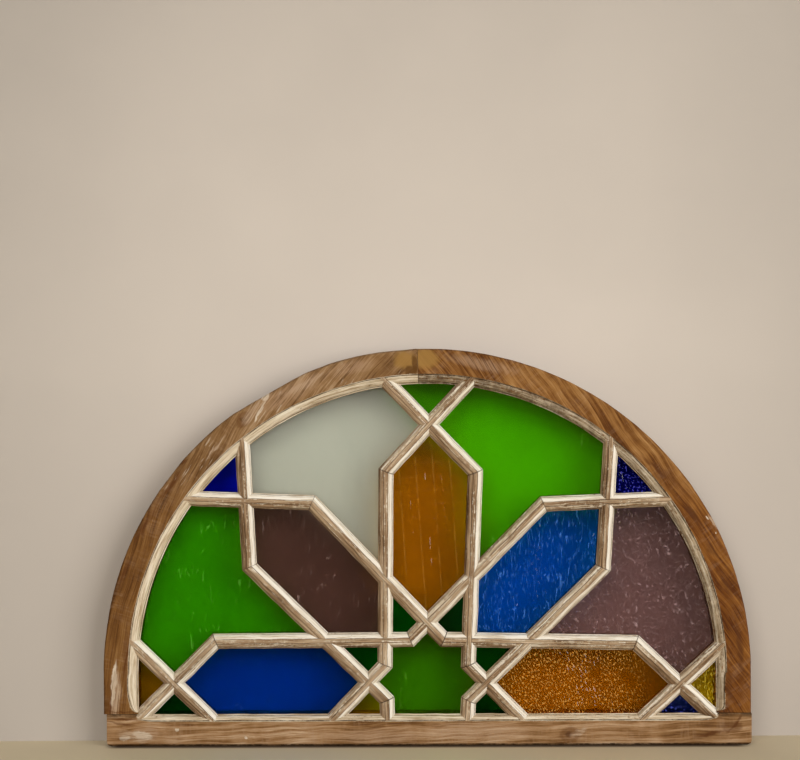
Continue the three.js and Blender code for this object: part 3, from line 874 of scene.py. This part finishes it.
# Corners of each pane, in order round it: where runs cross, where they bend and where they end
cells = {
    "pane_star": [
        crossing("sweep_left", "sweep_right"), at("sweep_right", 2), crossing("sweep_right", "crown_left"),
        at("crown_left", 2), crossing("crown_left", "shoulder_left"), at("shoulder_left", 2),
        far("shoulder_left", True), far("shoulder_right", True), at("shoulder_right", 2),
        crossing("crown_right", "shoulder_right"), at("crown_right", 2),
        crossing("sweep_left", "crown_right"), at("sweep_left", 2),
    ],
    "pane_petal_top": [
        crossing("crown_left", "crown_right"), at("crown_left", 1), crossing("sweep_left", "crown_left"),
        crossing("sweep_left", "sweep_right"), crossing("sweep_right", "crown_right"), at("crown_right", 1),
    ],
    "pane_crown": [
        far("crown_right", False), crossing("crown_left", "crown_right"), far("crown_left", False),
    ],
}
for s, o in (("left", "right"), ("right", "left")):
    sweep, opposite, crown = "sweep_" + s, "sweep_" + o, "crown_" + s
    shoulder, foot = "shoulder_" + s, "foot_" + s
    shoulder_tip = crossing(sweep, shoulder)
    upper_ring = crossing(sweep, crown)
    side_ring = crossing(opposite, shoulder)
    star_corner = crossing(opposite, crown)
    star_side = crossing(crown, shoulder)
    foot_tip = crossing(opposite, foot)
    top_tip = crossing("crown_left", "crown_right")
    cells["pane_petal_upper_" + s] = [
        shoulder_tip, at(sweep, 1), upper_ring, star_corner, side_ring, at(shoulder, 1),
    ]
    cells["pane_petal_" + s] = [
        side_ring, at(opposite, 3), foot_tip, far(foot, True), far(crown, True), star_side,
    ]
    cells["pane_field_upper_" + s] = [
        far("crown_" + o, False), top_tip, at(crown, 1), upper_ring, at(sweep, 1), shoulder_tip,
        far(shoulder, False),
    ]
    cells["pane_field_" + s] = [
        shoulder_tip, at(shoulder, 1), side_ring, at(opposite, 3), foot_tip, far(foot, False),
        far(sweep, False),
    ]
    cells["pane_shoulder_" + s] = [shoulder_tip, far(sweep, False), far(shoulder, False)]
    cells["pane_leg_" + s] = [foot_tip, far(foot, False), far(opposite, True)]
    cells["pane_rail_" + s] = [foot_tip, far(opposite, True), far(foot, True)]
    cells["pane_kite_" + s] = [
        upper_ring, star_corner, at(opposite, 2), crossing("sweep_left", "sweep_right"),
    ]
    cells["pane_quad_" + s] = [star_corner, side_ring, star_side, at(crown, 2)]
    cells["pane_under_" + s] = [star_side, far(crown, True), far(shoulder, True), at(shoulder, 2)]

# Middle points, from which the whole edge of a pane can be seen
eyes = {
    "pane_star": off(0, 8),
    "pane_petal_top": off(0, 200),
    "pane_crown": off(0, 352),
    "pane_petal_left": off(-190, 4),
    "pane_petal_right": off(190, 4),
    "pane_field_left": off(-263, 112),
    "pane_field_right": off(259, 110),
    "pane_field_upper_left": off(-94, 262),
    "pane_field_upper_right": off(97, 262),
    "pane_shoulder_left": off(-244, 243),
    "pane_shoulder_right": off(243, 242),
    "pane_leg_left": off(-345, 3),
    "pane_leg_right": off(342, 1),
    "pane_rail_left": off(-311, -28),
    "pane_rail_right": off(308, -28),
    "pane_under_left": off(-76, -26),
    "pane_under_right": off(74, -26),
}


def inset(points, distance):
    """Polygon with each side moved inwards: every corner goes along its bisector by the distance
    over the cosine of half the turn."""
    points = np.array(points)
    if cross2(points, np.roll(points, -1, axis=0)).sum() < 0:
        points = points[::-1]
    e = points - np.roll(points, 1, axis=0)
    e = e / np.linalg.norm(e, axis=1, keepdims=True)
    f = np.roll(e, -1, axis=0)
    ne = np.stack([-e[:, 1], e[:, 0]], 1)
    nf = np.stack([-f[:, 1], f[:, 0]], 1)
    middle = ne + nf
    middle = middle / np.linalg.norm(middle, axis=1, keepdims=True)
    return points + middle * (distance / (middle * ne).sum(1))[:, None]


def outline_reach(outline, eye, angles):
    """Distance from the eye to the pane's edge in each direction: the nearest of the polygon's
    sides, the arch's circle, the legs' lines and the rail's line, all inside their grooves."""
    rays = np.stack([np.cos(angles), np.sin(angles)], 1)
    p = outline[None] - eye
    s = np.roll(outline, -1, axis=0)[None] - outline[None]
    area = rays[:, None, 0] * s[..., 1] - rays[:, None, 1] * s[..., 0]
    area = np.where(np.abs(area) < 1e-9, 1e-9, area)
    t = (p[..., 0] * s[..., 1] - p[..., 1] * s[..., 0]) / area
    w = (p[..., 0] * rays[:, None, 1] - p[..., 1] * rays[:, None, 0]) / area
    t = np.where((t > 0) & (w > -1e-6) & (w < 1 + 1e-6), t, 1e9).min(1)
    radius = sight + groove_depth - groove_play
    rel = eye - np.array([0.0, spring_height])
    b = rays @ rel
    circle = -b + np.sqrt(np.maximum(b * b - rel @ rel + radius**2, 0))
    hit = rel[1] + circle * rays[:, 1]
    leg = (radius - np.sign(rays[:, 0]) * eye[0]) / np.abs(rays[:, 0]).clip(1e-6)
    circle = np.where(hit < 0, leg, circle)
    low = rail_top - groove_depth + groove_play
    rail_line = np.where(rays[:, 1] < -1e-6, (low - eye[1]) / rays[:, 1].clip(-2, -1e-6), 1e9)
    return np.minimum(np.minimum(t, circle), rail_line)


def back_wave(x, z):
    """How far the slightly uneven back of a pane rises."""
    return 0.08 * ripple(5, 60, x, z)


def pane_mesh(name, relief, grain):
    """Closed glass plate: points eye + s (edge - eye) with s from 0 to 1 and the edge going round,
    the front raised by the relief, which fades out in the grooves, the back slightly uneven."""
    outline = inset(cells[name], pane_clear)
    eye = eyes.get(name, np.mean(outline, axis=0))
    corner = np.arctan2(outline[:, 1] - eye[1], outline[:, 0] - eye[0])
    fine = np.linspace(-pi, pi, 721)[:-1]
    reach = outline_reach(outline, eye, fine)
    size = reach.mean()
    count = int(2 * pi * size / grain)
    edge = np.stack([np.cos(fine) * reach, np.sin(fine) * reach], 1)
    gone = np.concatenate([[0], np.cumsum(np.linalg.norm(np.roll(edge, -1, axis=0) - edge, axis=1))])
    even = np.interp(np.linspace(0, gone[-1], count + 1)[:-1], gone, np.append(fine, pi))
    angles = np.unique(np.concatenate([even, corner]).round(6))
    reach = outline_reach(outline, eye, angles)
    rays = np.stack([np.cos(angles), np.sin(angles)], 1)
    rows = max(4, int(size / grain))
    s = np.linspace(0, 1, rows + 1)[1:]
    plane = eye + s[:, None, None] * (rays * reach[:, None])[None]
    x, z = plane[..., 0], plane[..., 1]
    hold = smooth((1 - s)[:, None] * reach[None], 2.5, 6.0)
    front_y = glass_y - glass_half - relief(x, z) * hold
    back_y = glass_y + glass_half + back_wave(x, z) * hold
    centre_x, centre_z = np.array([eye[0]]), np.array([eye[1]])
    n = len(angles)
    points = np.concatenate([
        np.stack([x, front_y, z], -1).reshape(-1, 3),
        np.stack([x, back_y, z], -1).reshape(-1, 3),
        [[eye[0], glass_y - glass_half - relief(centre_x, centre_z)[0], eye[1]]],
        [[eye[0], glass_y + glass_half + back_wave(centre_x, centre_z)[0], eye[1]]],
    ])
    k, i = np.meshgrid(np.arange(rows - 1), np.arange(n), indexing="ij")
    j = (i + 1) % n
    quads = np.stack([k * n + i, k * n + j, (k + 1) * n + j, (k + 1) * n + i], -1).reshape(-1, 4)
    back_at = rows * n
    ring = np.arange(n)
    after = (ring + 1) % n
    last = (rows - 1) * n
    rim = np.stack([last + ring, last + after, back_at + last + after, back_at + last + ring], -1)
    quads = np.concatenate([quads, back_at + quads[:, ::-1], rim])
    top = np.full(n, 2 * back_at)
    tris = np.concatenate([
        np.stack([top, after, ring], -1), np.stack([top + 1, back_at + ring, back_at + after], -1),
    ])
    corners = np.concatenate([quads.reshape(-1), tris.reshape(-1)])
    sizes = np.concatenate([np.full(len(quads), 4), np.full(len(tris), 3)])
    mesh = mesh_of(name, points, corners, sizes)
    mesh.update(calc_edges=True)
    mesh.validate()
    return mesh


def flecks(seed, wide, tall, x, z, low=0.75):
    """Separate smooth lumps of a width and height, where wave noise rises above a level."""
    return smooth(ripple(seed, wide, x, z * wide / tall), low, low + 0.8)


def drawn(x, z):
    """Drawn sheet: long, very shallow waves and a few tiny seeds."""
    return 0.10 * ripple(41, 55, x * 1.6, z * 0.6) + 0.10 * flecks(52, 5, 11, x, z, 1.35)


def streaked(x, z):
    """Fine upright lines that break up and wander a little."""
    lines = smooth(np.cos(2 * pi * (x + 0.12 * z + 1.2 * ripple(42, 50, x, z)) / 13), 0.86, 1.0)
    whole = smooth(ripple(43, 24, x * 1.5, z * 0.4), 0.1, 0.9)
    return 0.45 * lines * whole + 0.20 * flecks(53, 5, 16, x, z, 1.0)


def dripping(x, z):
    """Short upright drops, scattered, on a gently uneven sheet."""
    return 0.40 * flecks(44, 5, 16, x, z, 0.75) + 0.15 * ripple(45, 30, x, z)


def hammered(x, z):
    """Close small lumps, a little taller than wide, that die out towards the right end."""
    lumps = 0.25 * ripple(48, 8, x, z * 0.7) + 0.20 * flecks(54, 5, 8, x, z, 0.6)
    return lumps * (1 - 0.75 * smooth(x, 225, 285))


def gridded(x, z):
    """Fine raised lines in a grid that leans a little and breaks up."""
    across = (x + 0.07 * z + 0.8 * ripple(55, 60, x, z)) / 20.5
    down = (z - 0.05 * x + 0.8 * ripple(56, 60, x, z)) / 16.5
    upright = smooth(np.cos(2 * pi * across), 0.93, 1.0) * smooth(ripple(57, 40, x, z * 0.5), -0.5, 0.8)
    level = smooth(np.cos(2 * pi * down), 0.93, 1.0) * smooth(ripple(58, 40, x * 0.5, z), -0.2, 1.0)
    return 0.45 * upright + 0.25 * level + 0.12 * ripple(59, 22, x, z) + 0.20 * flecks(60, 5, 7, x, z, 1.2)


def rolled(x, z):
    """Rounded ripples that lean and wander."""
    return 0.10 * np.sin(2 * pi * (z * 0.6 + x * 0.55) / 8 + 1.8 * ripple(49, 40, x, z))


def woven(x, z):
    """Short curved lumps lying both ways, over a shallow crossed wave."""
    left = flecks(61, 4.5, 16, x * 0.9 + z * 0.45, z * 0.9 - x * 0.45, 0.85)
    right = flecks(62, 4.5, 16, x * 0.9 - z * 0.45, z * 0.9 + x * 0.45, 0.95)
    return 0.20 * left + 0.20 * right + 0.12 * ripple(50, 20, x, z)


def seeded(x, z):
    """Round seeds in the glass, thicker towards the lower left."""
    return 0.40 * flecks(63, 4.6, 5.4, x, z, 0.7) * smooth(0.4 * (260 - x) + 0.6 * (360 - z), -30, 10)


def painted_glints(tree, body, kind, wide, tall, strength, lean, thick):
    """Mask of the painted glints of small raised marks, up to their strength: the marks are not shaped here,
    only the light they would catch is painted. A grid is two sets of fine bands, the level ones fainter;
    threads lie where stretched noise is nearly one half, dots where it is high; the first two are broken up
    by finer noise."""
    stretch = (1000 / wide, 1, 1000 / tall)
    if kind == "grid":
        turned = add(tree, "ShaderNodeMapping", Vector=body, Rotation=(0, radians(lean), 0)).outputs[0]
        lines = 0.0
        for direction, step, share in (("X", wide, strength), ("Z", tall, 0.4 * strength)):
            bands = add(
                tree, "ShaderNodeTexWave", {"bands_direction": direction},
                Vector=turned, Scale=one_mm_bands / step, Distortion=0.25, Detail=1.0,
            ).outputs["Fac"]
            lines = maths(tree, "MAXIMUM", lines, ramp(tree, bands, 0.965, 0.995, 0.0, share))
        return times(tree, lines, ramp(tree, cloud(tree, body, 90.0, 2, 0.5), 0.35, 0.6))
    if kind == "thread":
        spread = stretched(tree, body, stretch, radians(lean))
        off_line = maths(tree, "SUBTRACT", cloud(tree, spread, 1.0, 1, 0.5), 0.5)
        off_line = maths(tree, "ABSOLUTE", off_line, 0.0)
        broken = cloud(tree, stretched(tree, body, (160, 1, 3200 / tall)), 1.0, 2, 0.5)
        whole = ramp(tree, broken, 0.66 - 0.16 * thick, 0.74 - 0.16 * thick)
        return times(tree, ramp(tree, off_line, 0.003, 0.017, strength, 0.0), whole)
    shake = colour_cloud(tree, body, 60.0, 1.0)
    shaken = vector_maths(tree, "MULTIPLY_ADD", shake, (0.003, 0, 0.003), body)
    lumps = cloud(tree, stretched(tree, shaken, stretch, radians(lean)), 1.0, 2, 0.5)
    return ramp(tree, lumps, 0.71 - 0.14 * thick, 0.77 - 0.14 * thick, 0.0, strength)


def coloured_glass(name, tint, deep, rough, marks):
    """Clear body tinted by its base colour, which drifts to the deep tint in soft clouds; painted
    glints, pale diffuse specks where small raised marks would catch the light, lie on it in patches;
    lamps' rays pass with the tint, so that what is behind is lit in its colour."""
    material = bpy.data.materials.new(name)
    material.use_nodes = True
    tree = material.node_tree
    shader = tree.nodes["Principled BSDF"]
    shader.inputs["Roughness"].default_value = rough
    shader.inputs["IOR"].default_value = 1.5
    shader.inputs["Transmission Weight"].default_value = 1.0
    body = add(tree, "ShaderNodeTexCoord").outputs["Object"]
    along_x = add(tree, "ShaderNodeSeparateXYZ", (), (body,)).outputs["X"]
    drift = cloud(tree, stretched(tree, body, (1, 1, 0.6)), 22.0, 3, 0.6)
    colour = blend(tree, ramp(tree, drift, 0.35, 0.7), tint, deep)
    tree.links.new(colour, shader.inputs["Base Color"])
    surface = shader.outputs[0]
    pale = tuple(0.15 + 0.85 * c / max(tint) for c in tint)
    for kind, wide, tall, strength, lean, thick, until in marks:
        raised = painted_glints(tree, body, kind, wide, tall, strength, lean, thick)
        in_patch = ramp(tree, cloud(tree, body, 26.0, 2, 0.5), 0.62 - 0.3 * thick, 0.74 - 0.3 * thick)
        in_reach = ramp(tree, along_x, until * mm, (until - 70) * mm)
        # Painted glints: a pale diffuse surface is mixed in where the marks lie, in place of the light they
        # would catch.
        glint_shader = add(tree, "ShaderNodeBsdfDiffuse", Color=(*pale, 1))
        share = times(tree, raised, in_patch, in_reach)
        surface = add(tree, "ShaderNodeMixShader", (), (share, surface, glint_shader.outputs[0])).outputs[0]
    through = tuple(sqrt(c) for c in tint)
    clear = add(tree, "ShaderNodeBsdfTransparent", Color=(*through, 1))
    lamp_ray = add(tree, "ShaderNodeLightPath").outputs["Is Shadow Ray"]
    mix = add(tree, "ShaderNodeMixShader", (), (lamp_ray, surface, clear.outputs[0]))
    tree.links.new(mix.outputs[0], tree.nodes["Material Output"].inputs["Surface"])
    return material


# Scale of the wave pattern that puts its bands one mm apart
one_mm_bands = 314
# Painted glints of small marks: kind, width and height in mm, strength, lean in degrees, how thick
# they lie, and the x where they die out
drops = [("thread", 5, 42, 0.22, 0, 1.25, 900), ("dot", 1.6, 9, 0.12, 0, 0.9, 900)]
threads = [("thread", 9, 60, 0.11, -6, 0.8, 900)]
crumbs = [("dot", 1.7, 3.2, 0.37, 18, 1.05, 290)]
curls = [("thread", 7, 10, 0.12, 20, 1.3, 900), ("thread", 7, 12, 0.10, -24, 1.3, 900)]
seeds = [("dot", 2.8, 3.0, 0.26, 0, 1.0, 900)]
grid = [("grid", 21, 17, 0.055, 4, 1.0, 900)]
scales = [("dot", 2.0, 5, 0.17, 0, 1.2, 900)]
few = [("thread", 14, 60, 0.06, 4, 0.6, 900)]
# Panes: relief, spacing of the mesh in mm, tint, deeper tint, roughness, painted glints of small marks, slot
glazing = {
    "pane_star": (drawn, 2.4, (0.172, 0.45, 0.009), (0.145, 0.39, 0.009), 0.12, few, "glass_green"),
    "pane_petal_top": (gridded, 1.6, (0.54, 0.31, 0.002), (0.485, 0.272, 0.004), 0.14, grid, "glass_amber"),
    "pane_petal_upper_left": (
        streaked, 1.8, (0.26, 0.18, 0.165), (0.245, 0.17, 0.155), 0.12, threads, "glass_brown",
    ),
    "pane_petal_upper_right": (
        dripping, 1.7, (0.003, 0.213, 0.632), (0.005, 0.205, 0.612), 0.10, drops, "glass_blue",
    ),
    "pane_petal_left": (drawn, 2.6, (0.005, 0.152, 0.56), (0.007, 0.139, 0.52), 0.12, few, "glass_blue"),
    "pane_petal_right": (
        hammered, 1.7, (0.56, 0.30, 0.008), (0.49, 0.255, 0.008), 0.08, crumbs, "glass_amber",
    ),
    "pane_field_upper_left": (
        drawn, 3.0, (0.63, 0.675, 0.634), (0.61, 0.66, 0.62), 0.3, [], "glass_clear",
    ),
    "pane_field_upper_right": (
        drawn, 3.0, (0.217, 0.618, 0.004), (0.207, 0.588, 0.005), 0.12, few, "glass_bright_green",
    ),
    "pane_field_left": (
        streaked, 2.2, (0.15, 0.53, 0.003), (0.133, 0.48, 0.004), 0.12, threads, "glass_green",
    ),
    "pane_field_right": (woven, 2.0, (0.388, 0.284, 0.29), (0.372, 0.28, 0.295), 0.10, curls, "glass_purple"),
    "pane_crown": (drawn, 2.4, (0.192, 0.595, 0.002), (0.17, 0.55, 0.003), 0.12, few, "glass_green"),
    "pane_shoulder_left": (
        drawn, 2.4, (0.004, 0.018, 0.74), (0.004, 0.016, 0.675), 0.10, [], "glass_dark_blue",
    ),
    "pane_shoulder_right": (
        seeded, 1.5, (0.003, 0.010, 0.44), (0.003, 0.009, 0.41), 0.08, seeds, "glass_dark_blue",
    ),
    "pane_leg_left": (drawn, 2.4, (0.60, 0.405, 0.011), (0.555, 0.365, 0.01), 0.12, [], "glass_brown_amber"),
    "pane_leg_right": (rolled, 1.4, (1.0, 0.82, 0.016), (1.0, 0.77, 0.015), 0.08, scales, "glass_yellow"),
    "pane_rail_left": (
        drawn, 2.4, (0.006, 0.235, 0.028), (0.008, 0.218, 0.023), 0.12, [], "glass_dark_green",
    ),
    "pane_rail_right": (
        seeded, 1.5, (0.011, 0.046, 0.51), (0.01, 0.043, 0.48), 0.08, seeds, "glass_dark_blue",
    ),
    "pane_kite_left": (drawn, 2.4, (0.004, 0.30, 0.006), (0.004, 0.27, 0.006), 0.12, [], "glass_dark_green"),
    "pane_kite_right": (
        drawn, 2.4, (0.013, 0.146, 0.009), (0.015, 0.14, 0.012), 0.12, [], "glass_dark_green",
    ),
    "pane_quad_left": (drawn, 2.4, (0.004, 0.247, 0.011), (0.004, 0.226, 0.01), 0.12, [], "glass_dark_green"),
    "pane_quad_right": (
        drawn, 2.4, (0.006, 0.232, 0.008), (0.006, 0.21, 0.008), 0.12, [], "glass_dark_green",
    ),
    "pane_under_left": (drawn, 2.4, (0.625, 0.52, 0.01), (0.585, 0.49, 0.01), 0.12, [], "glass_olive"),
    "pane_under_right": (
        drawn, 2.4, (0.003, 0.18, 0.011), (0.004, 0.167, 0.01), 0.12, [], "glass_dark_green",
    ),
}
for node, (relief, grain, tint, deep, rough, marks, slot) in glazing.items():
    name = node.replace("pane", "glass")
    glass = coloured_glass(name, tint, deep, rough, marks)
    place(name, pane_mesh(node, relief, grain), glass, node, 60)

# Floor and backdrop: a plain pale floor, and a pale backdrop just behind the window that is
# clear when seen from its back, so that the window's back can be looked at.
backdrop_y = 0.034
backdrop_turn = radians(1.6)
painted_falloff_tone = (0.46, 0.46, 0.455)
foot_shadow_tone = (0.07, 0.04, 0.02)


def plain_surface(name, colour, corners, is_backdrop):
    """A flat rectangle in one soft colour with a faint mottle: the backdrop is a little darker
    outwards, a painted falloff of light, and the floor has a painted shadow, a dark line just in front of
    where the window stands on it."""
    mesh = bpy.data.meshes.new(name)
    mesh.from_pydata(corners, [], [(0, 1, 2, 3)])
    material = bpy.data.materials.new(name)
    material.use_nodes = True
    tree = material.node_tree
    shader = tree.nodes["Principled BSDF"]
    shader.inputs["Roughness"].default_value = 0.9
    body = add(tree, "ShaderNodeTexCoord").outputs["Object"]
    mottle = cloud(tree, body, 2.5, 3, 0.5)
    shade = tuple(0.94 * c for c in colour)
    plain = blend(tree, ramp(tree, mottle, 0.35, 0.65), shade, colour)
    if is_backdrop:
        # Painted falloff of light: the backdrop darkens away from a point behind the window's upper middle.
        settings = {"vector_type": "TEXTURE"}
        near = add(tree, "ShaderNodeMapping", settings, Vector=body, Location=(0, backdrop_y, 0.38))
        painted_falloff = add(tree, "ShaderNodeTexGradient", {"gradient_type": "SPHERICAL"}, (near.outputs[0],))
        painted_falloff = painted_falloff.outputs[1]
        plain = blend(tree, painted_falloff, blend(tree, 1.0, plain, painted_falloff_tone, "MULTIPLY"), plain)
    else:
        x, y, _ = add(tree, "ShaderNodeSeparateXYZ", (), (body,)).outputs
        # Painted shadow on the floor: a dark band just in front of the rail, as wide as the window.
        sideways = ramp(tree, maths(tree, "ABSOLUTE", x, 0), 0.402, 0.38)
        foot = times(tree, ramp(tree, y, -0.040, -0.025), sideways, 0.95)
        plain = blend(tree, foot, plain, foot_shadow_tone)
    tree.links.new(plain, shader.inputs["Base Color"])
    if is_backdrop:
        clear = add(tree, "ShaderNodeBsdfTransparent")
        rear = add(tree, "ShaderNodeNewGeometry").outputs["Backfacing"]
        lamp_ray = add(tree, "ShaderNodeLightPath").outputs["Is Shadow Ray"]
        gone = maths(tree, "MAXIMUM", rear, lamp_ray)
        mix = add(tree, "ShaderNodeMixShader", (), (gone, shader.outputs[0], clear.outputs[0]))
        tree.links.new(mix.outputs[0], tree.nodes["Material Output"].inputs["Surface"])
    mesh.materials.append(material)
    surface = bpy.data.objects.new(name, mesh)
    bpy.context.scene.collection.objects.link(surface)
    surface.visible_glossy = False


plain_surface("floor", (0.665, 0.565, 0.39), [(-6, -6, 0), (6, -6, 0), (6, 6, 0), (-6, 6, 0)], False)
ends = [(x, backdrop_y + x * sin(backdrop_turn)) for x in (-4, 4)]
backdrop_corners = [(*ends[0], 0), (*ends[1], 0), (*ends[1], 4), (*ends[0], 4)]
plain_surface("backdrop", (0.765, 0.69, 0.62), backdrop_corners, True)

# Light: a broad soft daylight from the right, a soft light from the front and a weak one on the
# window's back, in a faint light from all round. Only the daylight is mirrored in the glass.
world = bpy.data.worlds.new("surroundings")
world.use_nodes = True
all_round = world.node_tree.nodes["Background"]
all_round.inputs["Color"].default_value = (0.97, 0.95, 0.92, 1)
all_round.inputs["Strength"].default_value = 0.22
world.cycles_visibility.glossy = False
bpy.context.scene.world = world
lamp_aim = Matrix.Translation((0, 0, 0.25))


def lamp(name, power, size, where, colour, mirrored):
    """A square soft light turned towards the middle of the window."""
    data = bpy.data.lights.new(name, "AREA")
    data.energy = power
    data.size = size
    data.color = colour
    light = bpy.data.objects.new(name, data)
    light.visible_glossy = mirrored
    stand = Matrix.Translation(where)
    way = stand.translation - lamp_aim.translation
    light.matrix_world = stand @ way.to_track_quat("Z", "Y").to_matrix().to_4x4()
    bpy.context.scene.collection.objects.link(light)


lamp("window_light", 340, 5.2, (4.6, -5.2, 1.6), (1.0, 0.975, 0.94), True)
lamp("front_light", 95, 2.4, (-0.9, -4.5, 2.3), (1.0, 0.97, 0.92), False)
lamp("back_light", 50, 3.0, (-1.2, 4.4, 2.2), (1.0, 0.97, 0.92), False)
bpy.context.scene.view_settings.view_transform = "Standard"
